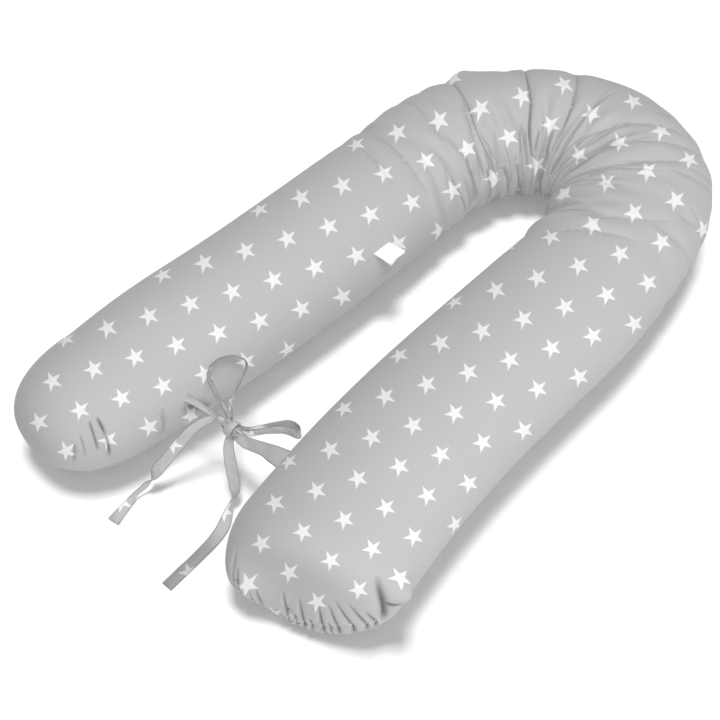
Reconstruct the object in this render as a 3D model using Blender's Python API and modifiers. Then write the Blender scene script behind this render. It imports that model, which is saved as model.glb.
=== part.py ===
"""A U-shaped pregnancy pillow, its two arms held together by a pair of tapes tied in a bow.

It lies on the surface z = 0 with its bend towards +Y. All sizes are in metres.
"""

import math
from collections import namedtuple

import bmesh
import bpy
import numpy as np
from mathutils import Vector

# The stuffed tube, section by section, from the end of the -X arm round the bend to the end of the +X arm.
Section = namedtuple("Section", "x y half_width height")
SECTIONS = (
    Section(-0.163, -0.290, 0.085, 0.135),
    Section(-0.156, -0.200, 0.092, 0.145),
    Section(-0.150, -0.090, 0.095, 0.145),
    Section(-0.147, 0.020, 0.098, 0.145),
    Section(-0.147, 0.140, 0.100, 0.145),
    Section(-0.148, 0.262, 0.102, 0.145),
    Section(-0.118, 0.385, 0.106, 0.145),
    Section(-0.008, 0.467, 0.110, 0.145),
    Section(0.104, 0.414, 0.108, 0.145),
    Section(0.147, 0.293, 0.101, 0.145),
    Section(0.155, 0.165, 0.101, 0.145),
    Section(0.152, 0.035, 0.099, 0.145),
    Section(0.151, -0.085, 0.097, 0.145),
    Section(0.157, -0.195, 0.096, 0.145),
    Section(0.167, -0.287, 0.096, 0.140),
)
# The sections fan out evenly round the bend: their facing is the centre line's, averaged over this length.
FAN_LENGTH = 0.34
PLAN_SHIFT = Vector((-0.006, -0.090, 0.0))
SEAM_SHARE = 0.48
SAG_SHARE = 1.08

# Each closed end: how far it reaches past the last section, how round its corners are, how far its
# tip lies to the outer side, how much longer its inner side is, and the height of the tip.
End = namedtuple("End", "reach roundness skew slant tip_height")
START_END = End(0.104, 0.72, 0.014, 0.0, 0.050)
FINISH_END = End(0.050, 0.36, -0.006, 0.30, 0.036)

AROUND = 44
ARM_STEP = 0.030
BEND_STEP = 0.0115
BEND_FROM, BEND_TO = 0.48, 1.15
END_RINGS = 9

# Folds, gathers and seams. A route's points are (metres along the tube, degrees round it), where 0
# degrees is the outer side, 90 the top and 180 the inner side.
Fold = namedtuple("Fold", "depth width lip route")
FOLDS = (
    Fold(0.0105, 0.0125, 0.30, ((0.655, 20), (0.642, 72), (0.622, 115), (0.614, 140), (0.632, 185))),
    Fold(0.0050, 0.0100, 0.25, ((0.640, 82), (0.600, 128), (0.576, 170))),
    Fold(0.0115, 0.0125, 0.30, ((0.738, 20), (0.732, 80), (0.730, 112), (0.724, 140), (0.744, 175))),
    Fold(0.0100, 0.0130, 0.25, ((0.780, 30), (0.795, 80), (0.806, 125), (0.800, 150))),
    Fold(0.0060, 0.0070, 0.20, ((0.565, 148), (0.565, 190))),
    Fold(0.0070, 0.0070, 0.20, ((0.598, 156), (0.612, 200))),
    Fold(0.0070, 0.0070, 0.20, ((0.648, 162), (0.676, 205))),
    Fold(0.0070, 0.0070, 0.20, ((0.684, 162), (0.712, 205))),
    Fold(0.0045, 0.0110, 0.20, ((0.860, 140), (0.888, 112), (0.910, 70), (0.926, 25))),
    Fold(0.0045, 0.0110, 0.20, ((0.930, 150), (0.944, 92), (0.940, 35))),
    Fold(0.0040, 0.0110, 0.20, ((0.990, 150), (0.984, 92), (0.960, 50))),
    Fold(0.0035, 0.0120, 0.20, ((1.040, 158), (0.998, 112), (0.985, 80))),
    Fold(0.0035, 0.0130, 0.20, ((1.114, 152), (1.112, 98), (1.054, 46))),
    Fold(0.0030, 0.0130, 0.20, ((1.185, 140), (1.142, 90), (1.120, 60))),
    Fold(0.0035, 0.0140, 0.15, ((0.594, 10), (0.575, 70), (0.542, 125))),
    Fold(0.0040, 0.0140, 0.15, ((0.524, 15), (0.478, 110), (0.466, 150))),
    Fold(0.0030, 0.0150, 0.15, ((0.490, 15), (0.455, 80), (0.430, 120))),
    Fold(0.0060, 0.0150, 0.10, ((0.040, 172), (0.076, 200))),
    Fold(0.0035, 0.0100, 0.20, ((0.018, 160), (0.010, 190))),
    Fold(0.0045, 0.0080, 0.20, ((-0.048, 140), (-0.054, 175))),
    Fold(0.0040, 0.0080, 0.20, ((-0.064, 135), (-0.070, 170))),
    Fold(0.0030, 0.0080, 0.20, ((-0.086, 140), (-0.092, 180))),
    Fold(0.0018, 0.0050, 0.30, ((-0.060, 150), (0.050, 160), (0.360, 156), (0.640, 160), (0.800, 165))),
    Fold(0.0018, 0.0050, 0.30, ((0.800, 165), (1.080, 160), (1.360, 158), (1.600, 158), (1.680, 162))),
    Fold(0.0018, 0.0050, 0.30, ((-0.060, -18), (0.360, -16), (0.640, -14), (0.820, -14))),
    Fold(0.0018, 0.0050, 0.30, ((0.820, -14), (1.080, -14), (1.360, -16), (1.680, -20))),
)
# The gathers drawn into the seam round the end of the +X arm, one to every third column of points.
GATHERS = 13
GATHER_COLUMNS = 3
GATHER_DEPTH, GATHER_WIDTH = 0.0050, 0.0070
GATHER_FROM, GATHER_TO = 86, 50
FLOOR_EASE = 0.018

TAPE_THICKNESS = 0.0016
SEAT_GAP = 0.0004
# The tapes' centre lines. heading and rise give the way that a tape's width points, in degrees.
TapePoint = namedtuple("TapePoint", "x y z width heading rise")
LEFT_STRAP = (
    TapePoint(-0.088, -0.254, 0.088, 0.012, 90, 45),
    TapePoint(-0.066, -0.248, 0.086, 0.011, 90, 45),
    TapePoint(-0.048, -0.244, 0.082, 0.010, 90, 50),
    TapePoint(-0.034, -0.242, 0.079, 0.009, 90, 55),
    TapePoint(-0.018, -0.241, 0.076, 0.008, 90, 60),
)
LEFT_LOOP = (
    TapePoint(-0.018, -0.239, 0.078, 0.007, 20, 45),
    TapePoint(-0.028, -0.232, 0.083, 0.009, 20, 45),
    TapePoint(-0.042, -0.229, 0.091, 0.012, 10, 45),
    TapePoint(-0.055, -0.226, 0.100, 0.014, 0, 45),
    TapePoint(-0.066, -0.220, 0.107, 0.014, 0, 45),
    TapePoint(-0.071, -0.210, 0.110, 0.014, 0, 45),
    TapePoint(-0.071, -0.197, 0.110, 0.014, 0, 45),
    TapePoint(-0.067, -0.185, 0.107, 0.014, 0, 40),
    TapePoint(-0.060, -0.176, 0.102, 0.014, 0, 35),
    TapePoint(-0.051, -0.176, 0.098, 0.014, 0, 35),
    TapePoint(-0.045, -0.186, 0.094, 0.014, 0, 40),
    TapePoint(-0.041, -0.201, 0.089, 0.013, 0, 45),
    TapePoint(-0.035, -0.217, 0.084, 0.011, 10, 45),
    TapePoint(-0.025, -0.229, 0.079, 0.008, 20, 45),
    TapePoint(-0.014, -0.238, 0.075, 0.007, 20, 45),
)
LEFT_FREE_END = (
    TapePoint(-0.016, -0.240, 0.075, 0.007, 41, 10),
    TapePoint(-0.026, -0.242, 0.079, 0.008, 41, 10),
    TapePoint(-0.033, -0.248, 0.080, 0.009, 41, 5),
    TapePoint(-0.041, -0.261, 0.077, 0.010, 41, 0),
    TapePoint(-0.046, -0.275, 0.069, 0.012, 41, 0),
    TapePoint(-0.051, -0.290, 0.055, 0.013, 41, 0),
    TapePoint(-0.057, -0.305, 0.039, 0.014, 41, 10),
    TapePoint(-0.062, -0.319, 0.024, 0.014, 41, 40),
    TapePoint(-0.065, -0.331, 0.0125, 0.014, 60, 80),
    TapePoint(-0.067, -0.345, 0.0080, 0.013, 165, 50),
    TapePoint(-0.066, -0.361, 0.0035, 0.014, 180, 12),
    TapePoint(-0.063, -0.383, 0.0016, 0.015, 190, 0),
)
RIGHT_STRAP = (
    TapePoint(-0.006, -0.243, 0.071, 0.009, 90, 45),
    TapePoint(0.004, -0.244, 0.073, 0.011, 90, 40),
    TapePoint(0.016, -0.244, 0.075, 0.013, 90, 35),
    TapePoint(0.030, -0.243, 0.080, 0.014, 90, 30),
    TapePoint(0.048, -0.243, 0.088, 0.017, 90, 15),
    TapePoint(0.066, -0.245, 0.096, 0.024, 90, 0),
    TapePoint(0.086, -0.246, 0.102, 0.026, 90, 0),
)
RIGHT_LOOP = (
    TapePoint(-0.006, -0.237, 0.079, 0.008, 70, 80),
    TapePoint(0.004, -0.237, 0.082, 0.010, 70, 80),
    TapePoint(0.015, -0.231, 0.085, 0.012, 90, 85),
    TapePoint(0.026, -0.221, 0.089, 0.013, 90, 85),
    TapePoint(0.036, -0.211, 0.092, 0.014, 90, 85),
    TapePoint(0.046, -0.204, 0.094, 0.014, 90, 85),
    TapePoint(0.055, -0.202, 0.094, 0.014, 90, 85),
    TapePoint(0.0605, -0.207, 0.092, 0.014, 90, 85),
    TapePoint(0.057, -0.215, 0.090, 0.014, 90, 85),
    TapePoint(0.047, -0.222, 0.087, 0.014, 90, 85),
    TapePoint(0.036, -0.228, 0.085, 0.013, 90, 85),
    TapePoint(0.024, -0.234, 0.083, 0.012, 90, 85),
    TapePoint(0.012, -0.240, 0.080, 0.010, 80, 85),
    TapePoint(-0.002, -0.243, 0.077, 0.008, 70, 80),
)
RIGHT_FREE_END = (
    TapePoint(-0.010, -0.243, 0.068, 0.010, 41, 0),
    TapePoint(-0.008, -0.249, 0.064, 0.012, 41, 0),
    TapePoint(-0.004, -0.255, 0.056, 0.014, 41, 0),
    TapePoint(0.004, -0.261, 0.044, 0.016, 41, 0),
    TapePoint(0.011, -0.266, 0.031, 0.016, 41, 5),
    TapePoint(0.018, -0.271, 0.019, 0.016, 41, 30),
    TapePoint(0.023, -0.279, 0.0115, 0.016, 60, 75),
    TapePoint(0.029, -0.292, 0.0095, 0.016, 200, 60),
    TapePoint(0.037, -0.312, 0.0040, 0.016, 205, 15),
    TapePoint(0.040, -0.338, 0.0016, 0.016, 195, 0),
    TapePoint(0.041, -0.366, 0.0016, 0.016, 180, 0),
    TapePoint(0.042, -0.398, 0.0016, 0.016, 180, 0),
)
STEPS_PER_POINT = 3
KNOT = Vector((-0.011, -0.241, 0.075))
KNOT_CORE = Vector((0.0150, 0.0085, 0.0090))
KNOT_WRAP = Vector((0.0075, 0.0120, 0.0125))

LABEL_THICKNESS = 0.0012
LABEL = (
    TapePoint(-0.072, 0.068, 0.101, 0.030, 90, 0),
    TapePoint(-0.060, 0.069, 0.102, 0.030, 90, 0),
    TapePoint(-0.048, 0.071, 0.101, 0.030, 90, 0),
    TapePoint(-0.036, 0.074, 0.096, 0.030, 90, 0),
)

FABRIC_GREY = (0.53, 0.52, 0.53, 1.0)
LABEL_WHITE = (0.90, 0.91, 0.92, 1.0)


def natural_spline(values, at):
    """Read a smooth curve through the rows of values, whose knots are 0, 1, 2 and so on."""
    count = len(values)
    system = np.eye(count)
    change = np.zeros_like(values)
    for row in range(1, count - 1):
        system[row, row - 1 : row + 2] = 1, 4, 1
        change[row] = 6 * (values[row + 1] - 2 * values[row] + values[row - 1])
    curvature = np.linalg.solve(system, change)
    cell = np.clip(np.floor(at).astype(int), 0, count - 2)
    part = (at - cell)[:, None]
    before, after = values[cell], values[cell + 1]
    bend_before, bend_after = curvature[cell], curvature[cell + 1]
    slope = after - before - (2 * bend_before + bend_after) / 6
    return before + part * slope + part**2 * bend_before / 2 + part**3 * (bend_after - bend_before) / 6


def end_steps(end, half_width):
    """Distances past the last section of a closed end's rings, evenly spaced over its rounded side."""
    quarter = np.linspace(0, math.pi / 2, 200)
    onward = end.reach * np.sin(quarter)
    inward = half_width * (1 - np.cos(quarter) ** end.roundness)
    covered = np.concatenate([[0], np.cumsum(np.hypot(np.diff(onward), np.diff(inward)))])
    return np.interp(np.linspace(0, covered[-1], END_RINGS + 1)[1:], covered, onward)


class Spine:
    """The tube's centre line in plan, with its sections, read by the distance along it."""

    def __init__(self, sections, samples=1200):
        knots = np.linspace(0, len(sections) - 1, samples)
        table = natural_spline(np.array(sections, float), knots)
        plan = table[:, :2] + np.array(PLAN_SHIFT[:2])
        steps = np.linalg.norm(np.diff(plan, axis=0), axis=1)
        self.along = np.concatenate([[0], np.cumsum(steps)])
        self.length = self.along[-1]
        heading = np.unwrap(np.arctan2(*np.gradient(plan, axis=0).T[::-1]))
        window = np.hanning(round(FAN_LENGTH / self.length * samples) | 1)
        padded = np.pad(heading, len(window) // 2, mode="edge")
        heading = np.convolve(padded, window / window.sum(), mode="valid")
        ahead = np.column_stack([np.cos(heading), np.sin(heading)])
        self.columns = np.column_stack([plan, ahead, table[:, 2:]])

    def at(self, along):
        return np.array([np.interp(along, self.along, column) for column in self.columns.T])

    def surface(self, along, turn):
        """Points of the smooth cover, turn in radians round the section from its outer side."""
        inside = np.clip(along, 0, self.length)
        x, y, ahead_x, ahead_y, half_width, height = self.at(inside)
        past = along - inside
        ends = np.where(along[:, None] < 0, START_END, FINISH_END)
        reach, roundness, skew, slant, tip_height = ends.T
        closing = np.clip(np.abs(past) / reach, 0, 1)
        share = (1 - closing**2) ** (roundness / 2)
        across = half_width * share * np.cos(turn) + skew * (1 - share)
        onward = past * (1 - slant * np.cos(turn) * share)
        middle = tip_height + (height * SEAM_SHARE - tip_height) * share
        crown = height * (1 - SEAM_SHARE) * share
        sag = height * SEAM_SHARE * SAG_SHARE * share
        upright = np.sin(turn)
        z = middle + np.where(upright > 0, crown, sag) * upright
        return np.column_stack(
            [
                x + ahead_x * onward - ahead_y * across,
                y + ahead_y * onward + ahead_x * across,
                np.maximum(z, 0),
            ]
        )

    def rings(self):
        """Distances along the tube of its rings of points, closer together in the bend and at the ends."""
        fine = np.linspace(0, self.length, 400)
        in_bend = (fine > BEND_FROM) & (fine < BEND_TO)
        per_metre = np.where(in_bend, 1 / BEND_STEP, 1 / ARM_STEP)
        counted = np.concatenate([[0], np.cumsum(per_metre[1:] * np.diff(fine))])
        body = np.interp(np.linspace(0, counted[-1], round(counted[-1])), counted, fine)
        start = -end_steps(START_END, self.columns[0, 4])[::-1]
        finish = self.length + end_steps(FINISH_END, self.columns[-1, 4])
        return np.concatenate([start, body, finish])


def distance_to_route(points, route):
    """Each point's distance to a line of points, and how far along that line its nearest place is."""
    steps = np.diff(route, axis=0)
    lengths = np.linalg.norm(steps, axis=1)
    reached = np.concatenate([[0], np.cumsum(lengths)])
    nearest = np.full(len(points), np.inf)
    place = np.zeros(len(points))
    for start, step, length, before in zip(route, steps, lengths, reached):
        offset = points - start
        part = np.clip(offset @ step / length**2, 0, 1)
        away = np.linalg.norm(offset - part[:, None] * step, axis=1)
        closer = away < nearest
        nearest[closer] = away[closer]
        place[closer] = before + part[closer] * length
    return nearest, place, reached[-1]


def fold_rise(points, spine, fold):
    """How far a fold moves each point out of the cover: down in its trough, up on its lips."""
    rows = np.array(fold.route, float)
    knots = np.linspace(0, len(rows) - 1, 8 * (len(rows) - 1) + 1)
    along, degrees = natural_spline(rows, knots).T
    route = spine.surface(along, np.radians(degrees))
    away, place, total = distance_to_route(points, route)
    near_end = np.minimum(place, total - place)
    fading = np.clip(near_end / (2 * fold.width), 0, 1)
    spread = away / fold.width
    trough = -np.exp(-(spread**2))
    lips = fold.lip * np.exp(-((spread - 2) ** 2))
    beyond = np.where(near_end > 0, 1, 0.4)
    return fold.depth * (trough + lips) * (0.4 + 0.6 * fading) * beyond


def end_gathers(spine):
    """The short folds that run up from the seam round the end of the +X arm."""
    for place in range(GATHERS):
        degrees = 360 / AROUND * GATHER_COLUMNS * place
        depth = GATHER_DEPTH * (1 + 0.35 * math.sin(2.4 * place))
        low, high = (
            (spine.length + FINISH_END.reach * math.sin(math.radians(angle)), degrees)
            for angle in (GATHER_FROM, GATHER_TO + 8 * math.sin(1.7 * place))
        )
        yield Fold(depth, GATHER_WIDTH, 0.3, (low, high))


def pillow_mesh(spine):
    """A globe whose poles are the two arm ends, laid along the tube, then folded and set down flat."""
    rings = spine.rings()
    bm = bmesh.new()
    bmesh.ops.create_uvsphere(bm, u_segments=AROUND, v_segments=len(rings) - 1, radius=1)
    globe = np.array([vertex.co for vertex in bm.verts])
    ring = np.rint(np.arccos(np.clip(-globe[:, 2], -1, 1)) / math.pi * (len(rings) - 1)).astype(int)
    turn = np.arctan2(globe[:, 1], globe[:, 0])
    smooth = spine.surface(rings[ring], turn)
    for vertex, point in zip(bm.verts, smooth):
        vertex.co = point
    bm.normal_update()
    normals = np.array([vertex.normal for vertex in bm.verts])
    rise = np.zeros(len(smooth))
    for fold in (*FOLDS, *end_gathers(spine)):
        rise += fold_rise(smooth, spine, fold)
    above_floor = np.clip(smooth[:, 2] / FLOOR_EASE, 0, 1)
    folded = smooth + normals * (rise * above_floor)[:, None]
    folded[:, 2] = np.where(smooth[:, 2] > 0, np.maximum(folded[:, 2], 0), 0)
    for vertex, point in zip(bm.verts, folded):
        vertex.co = point
    mesh = bpy.data.meshes.new("pillow")
    bm.to_mesh(mesh)
    bm.free()
    return mesh


def tape_mesh(name, rows, thickness):
    """A flat tape along a smooth route, its width turning as the rows say."""
    route = []
    for row in rows:
        heading, rise = math.radians(row.heading), math.radians(row.rise)
        across = (math.cos(heading) * math.cos(rise), math.sin(heading) * math.cos(rise), math.sin(rise))
        route.append((row.x, row.y, row.z, row.width, *across))
    steps = STEPS_PER_POINT * (len(rows) - 1)
    table = natural_spline(np.array(route), np.linspace(0, len(rows) - 1, steps + 1))
    centre = table[:, :3] + np.array(PLAN_SHIFT)
    ahead = np.gradient(centre, axis=0)
    ahead /= np.linalg.norm(ahead, axis=1)[:, None]
    across = table[:, 4:] - (table[:, 4:] * ahead).sum(axis=1)[:, None] * ahead
    across *= (table[:, 3] / 2 / np.linalg.norm(across, axis=1))[:, None]
    bm = bmesh.new()
    bmesh.ops.create_grid(bm, x_segments=steps, y_segments=1, size=1)
    for vertex in bm.verts:
        step = round((vertex.co.x + 1) / 2 * steps)
        vertex.co = centre[step] + across[step] * vertex.co.y
    mesh = bpy.data.meshes.new(name)
    bm.to_mesh(mesh)
    bm.free()
    tape = bpy.data.objects.new(name, mesh)
    solidify = tape.modifiers.new("Thickness", "SOLIDIFY")
    solidify.thickness = thickness
    solidify.offset = 0
    return tape


def lump(name, radii):
    """A rounded lump of gathered tape at the knot."""
    bm = bmesh.new()
    bmesh.ops.create_uvsphere(bm, u_segments=20, v_segments=12, radius=1)
    bmesh.ops.scale(bm, vec=radii, verts=bm.verts)
    bmesh.ops.translate(bm, vec=KNOT + PLAN_SHIFT, verts=bm.verts)
    mesh = bpy.data.meshes.new(name)
    bm.to_mesh(mesh)
    bm.free()
    return bpy.data.objects.new(name, mesh)


def hide_tool(tool, collection):
    collection.objects.link(tool)
    tool.hide_render = True
    tool.display_type = "WIRE"
    return tool


def boolean(target, tool, operation):
    modifier = target.modifiers.new(f"{operation.title()} {tool.name}", "BOOLEAN")
    modifier.operation = operation
    modifier.object = tool
    modifier.use_self = operation == "UNION"


def clearance_of(source, collection):
    """A copy of a finished piece, a little larger all round, that cuts the room for it."""
    bpy.context.view_layer.update()
    evaluated = source.evaluated_get(bpy.context.evaluated_depsgraph_get())
    tool = bpy.data.objects.new(f"{source.name} clearance", bpy.data.meshes.new_from_object(evaluated))
    displace = tool.modifiers.new("Gap", "DISPLACE")
    displace.strength = SEAT_GAP
    displace.mid_level = 0
    return hide_tool(tool, collection)


def fabric(name, colour, roughness):
    material = bpy.data.materials.new(name)
    material.use_nodes = True
    shader = material.node_tree.nodes["Principled BSDF"]
    shader.inputs["Base Color"].default_value = colour
    shader.inputs["Roughness"].default_value = roughness
    shader.inputs["Metallic"].default_value = 0.0
    return material


def build_tie(name, knot, strap, loop, free_end, parts, tools):
    """One tape: its lump of the knot joined to its strap, its loop and its free end."""
    tie = lump(name, knot)
    parts.objects.link(tie)
    for piece, rows in (("strap", strap), ("loop", loop), ("free end", free_end)):
        boolean(tie, hide_tool(tape_mesh(f"{name} {piece}", rows, TAPE_THICKNESS), tools), "UNION")
    return tie


def main():
    for item in list(bpy.data.objects):
        bpy.data.objects.remove(item)
    parts = bpy.data.collections.new("Pregnancy pillow")
    tools = bpy.data.collections.new("Cutters")
    bpy.context.scene.collection.children.link(parts)
    bpy.context.scene.collection.children.link(tools)

    pillow = bpy.data.objects.new("pillow", pillow_mesh(Spine(SECTIONS)))
    pillow.data.materials.append(fabric("star_fabric", FABRIC_GREY, 0.85))
    pillow.data.shade_smooth()
    parts.objects.link(pillow)

    tape_cloth = fabric("tape_fabric", FABRIC_GREY, 0.85)
    tie_left = build_tie("tie_left", KNOT_CORE, LEFT_STRAP, LEFT_LOOP, LEFT_FREE_END, parts, tools)
    tie_right = build_tie("tie_right", KNOT_WRAP, RIGHT_STRAP, RIGHT_LOOP, RIGHT_FREE_END, parts, tools)
    label = tape_mesh("label", LABEL, LABEL_THICKNESS)
    parts.objects.link(label)

    pillow_room = clearance_of(pillow, tools)
    for piece in (tie_left, tie_right, label):
        boolean(piece, pillow_room, "DIFFERENCE")
    boolean(tie_right, clearance_of(tie_left, tools), "DIFFERENCE")
    for tie in (tie_left, tie_right):
        tie.data.materials.append(tape_cloth)
    label.data.materials.append(fabric("label_fabric", LABEL_WHITE, 0.6))


main()
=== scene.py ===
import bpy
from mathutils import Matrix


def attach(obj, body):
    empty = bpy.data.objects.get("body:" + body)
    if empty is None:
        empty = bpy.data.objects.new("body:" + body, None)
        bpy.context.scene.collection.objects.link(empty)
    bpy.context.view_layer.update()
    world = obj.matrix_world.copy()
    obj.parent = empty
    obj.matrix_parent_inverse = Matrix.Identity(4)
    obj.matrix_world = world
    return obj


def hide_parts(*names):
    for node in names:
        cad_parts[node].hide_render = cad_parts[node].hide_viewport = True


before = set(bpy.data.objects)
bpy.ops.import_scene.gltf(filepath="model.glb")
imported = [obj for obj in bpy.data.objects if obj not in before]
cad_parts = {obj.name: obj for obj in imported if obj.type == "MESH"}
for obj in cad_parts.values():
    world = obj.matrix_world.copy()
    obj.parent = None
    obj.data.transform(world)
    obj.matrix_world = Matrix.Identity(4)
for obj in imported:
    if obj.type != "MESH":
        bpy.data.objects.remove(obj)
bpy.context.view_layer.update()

import math
import random

import bmesh
import bpy
import numpy as np
from mathutils import Vector
from mathutils.bvhtree import BVHTree
from mathutils.interpolate import poly_3d_calc
from mathutils.kdtree import KDTree


def addObject(name, data):
    made = bpy.data.objects.new(name, data)
    bpy.context.scene.collection.objects.link(made)
    return made


# Camera: the photograph's view, fitted to the pillow's outline
shot = {
    "azimuth": 41.0,
    "elevation": 48.5,
    "distance": 1.27,
    "lens": 50.0,
    "sensor": 36.0,
    "aim": (-0.020, -0.112, 0.0),
    "imageSize": 720,
}


def addCamera(shot):
    turn, lift = math.radians(shot["azimuth"]), math.radians(shot["elevation"])
    back = np.array([math.sin(turn) * math.cos(lift), -math.cos(turn) * math.cos(lift), math.sin(lift)])
    right = np.array([math.cos(turn), math.sin(turn), 0.0])
    data = bpy.data.cameras.new("photoCamera")
    data.lens = shot["lens"]
    data.sensor_width = shot["sensor"]
    data.clip_start = 0.01
    camera = addObject("photoCamera", data)
    camera.location = Vector(shot["aim"]) + Vector(back) * shot["distance"]
    camera.rotation_euler = Vector(back).to_track_quat("Z", "Y").to_euler()
    bpy.context.scene.camera = camera
    print("camera in place")
    return {
        "back": back,
        "right": right,
        "up": np.cross(back, right),
        "eye": np.array(camera.location),
        "focal": shot["lens"] / shot["sensor"] * shot["imageSize"],
    }


cameraAxes = addCamera(shot)

# The stuffed tube: its centre line in plan from the -X arm's end round the bend to the +X arm's end
tube = {
    "sections": (  # x, y, half width, height
        (-0.163, -0.290, 0.085, 0.135),
        (-0.156, -0.200, 0.092, 0.145),
        (-0.150, -0.090, 0.095, 0.145),
        (-0.147, 0.020, 0.098, 0.145),
        (-0.147, 0.140, 0.100, 0.145),
        (-0.148, 0.262, 0.102, 0.145),
        (-0.118, 0.385, 0.106, 0.145),
        (-0.008, 0.467, 0.110, 0.145),
        (0.104, 0.414, 0.108, 0.145),
        (0.147, 0.293, 0.101, 0.145),
        (0.155, 0.165, 0.101, 0.145),
        (0.152, 0.035, 0.099, 0.145),
        (0.151, -0.085, 0.097, 0.145),
        (0.157, -0.195, 0.096, 0.145),
        (0.167, -0.287, 0.096, 0.140),
    ),
    "shift": (-0.006, -0.090, 0.0),
    "fanLength": 0.34,
    "seamShare": 0.48,
    "sagShare": 1.08,
    "startEnd": (0.104, 0.72, 0.014, 0.0, 0.050),  # reach, roundness, skew, slant, tip height
    "finishEnd": (0.050, 0.36, -0.006, 0.30, 0.036),
    "fine": {"columns": 150, "armStep": 0.0100, "bendStep": 0.0045, "endRings": 28},
    "bendFrom": 0.46,
    "bendTo": 1.14,
    "undersideShare": 0.4,  # how much sparser the points are underneath
    "underside": (0.55, 0.2),  # cosine from straight down where they start to thin out, and how fast
    "floorEase": 0.010,
    "weaveRadius": 0.09,  # turns the angle round the tube into a length of cloth
}


def splineThrough(rows, at):
    # Natural cubic spline through the rows, whose knots are 0, 1, 2 and so on
    rows = np.asarray(rows, float)
    count = len(rows)
    system = np.eye(count)
    change = np.zeros_like(rows)
    for row in range(1, count - 1):
        system[row, row - 1:row + 2] = 1, 4, 1
        change[row] = 6 * (rows[row + 1] - 2 * rows[row] + rows[row - 1])
    curve = np.linalg.solve(system, change)
    cell = np.clip(np.floor(at).astype(int), 0, count - 2)
    part = (at - cell)[:, None]
    slope = rows[cell + 1] - rows[cell] - (2 * curve[cell] + curve[cell + 1]) / 6
    curveStep = curve[cell + 1] - curve[cell]
    return rows[cell] + part * slope + part ** 2 * curve[cell] / 2 + part ** 3 * curveStep / 6


def splinePoints(rows, steps):
    # The spline's points, so many steps from one row to the next
    return splineThrough(rows, np.linspace(0, len(rows) - 1, steps * (len(rows) - 1) + 1))


def lengthsAlong(points):
    # How far along a line of points each of them is
    return np.concatenate([[0], np.cumsum(np.linalg.norm(np.diff(points, axis=0), axis=1))])


def makeSpine(tube, samples=1200):
    table = splineThrough(tube["sections"], np.linspace(0, len(tube["sections"]) - 1, samples))
    plan = table[:, :2] + np.array(tube["shift"][:2])
    along = lengthsAlong(plan)
    heading = np.unwrap(np.arctan2(*np.gradient(plan, axis=0).T[::-1]))
    window = np.hanning(round(tube["fanLength"] / along[-1] * samples) | 1)
    heading = np.convolve(np.pad(heading, len(window) // 2, mode="edge"), window / window.sum(), mode="valid")
    columns = np.column_stack([plan, np.cos(heading), np.sin(heading), table[:, 2:]])
    return {"along": along, "columns": columns, "length": along[-1]}


def coverPoints(spine, along, turn):
    # Points of the smooth cover, turn in radians round the section from its outer side
    inside = np.clip(along, 0, spine["length"])
    x, y, aheadX, aheadY, halfWidth, height = (
        np.interp(inside, spine["along"], column) for column in spine["columns"].T
    )
    past = along - inside
    reach, roundness, skew, slant, tipHeight = np.where(
        along[:, None] < 0, tube["startEnd"], tube["finishEnd"]
    ).T
    share = (1 - np.clip(np.abs(past) / reach, 0, 1) ** 2) ** (roundness / 2)
    across = halfWidth * share * np.cos(turn) + skew * (1 - share)
    onward = past * (1 - slant * np.cos(turn) * share)
    middle = tipHeight + (height * tube["seamShare"] - tipHeight) * share
    crown = height * (1 - tube["seamShare"]) * share
    sag = height * tube["seamShare"] * tube["sagShare"] * share
    z = middle + np.where(np.sin(turn) > 0, crown, sag) * np.sin(turn)
    return np.column_stack([
        x + aheadX * onward - aheadY * across,
        y + aheadY * onward + aheadX * across,
        np.maximum(z, 0),
    ])


def ringPlaces(spine, grid):
    fine = np.linspace(0, spine["length"], 600)
    inBend = (fine > tube["bendFrom"]) & (fine < tube["bendTo"])
    dense = np.where(inBend, 1 / grid["bendStep"], 1 / grid["armStep"])
    counted = np.concatenate([[0], np.cumsum(dense[1:] * np.diff(fine))])
    body = np.interp(np.linspace(0, counted[-1], round(counted[-1])), counted, fine)
    ends = []
    for end, halfWidth in zip((tube["startEnd"], tube["finishEnd"]), spine["columns"][[0, -1], 4]):
        quarter = np.linspace(0, math.pi / 2, 400)
        onward = end[0] * np.sin(quarter)
        inward = halfWidth * (1 - np.cos(quarter) ** end[1])
        covered = np.concatenate([[0], np.cumsum(np.hypot(np.diff(onward), np.diff(inward)))])
        ends.append(np.interp(np.linspace(0, covered[-1], grid["endRings"] + 1)[1:], covered, onward))
    return np.concatenate([-ends[0][::-1], body, spine["length"] + ends[1]])


def columnTurns(grid):
    # Columns of points round the tube, sparser where it lies on the floor
    fine = np.linspace(0, 2 * math.pi, 721)
    thinFrom, thinOver = tube["underside"]
    under = np.clip((np.cos(fine - 1.5 * math.pi) - thinFrom) / thinOver, 0, 1)
    counted = np.concatenate([[0], np.cumsum((1 - (1 - tube["undersideShare"]) * under)[1:])])
    return np.interp(np.linspace(0, counted[-1], grid["columns"] + 1)[:-1], counted, fine)


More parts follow.
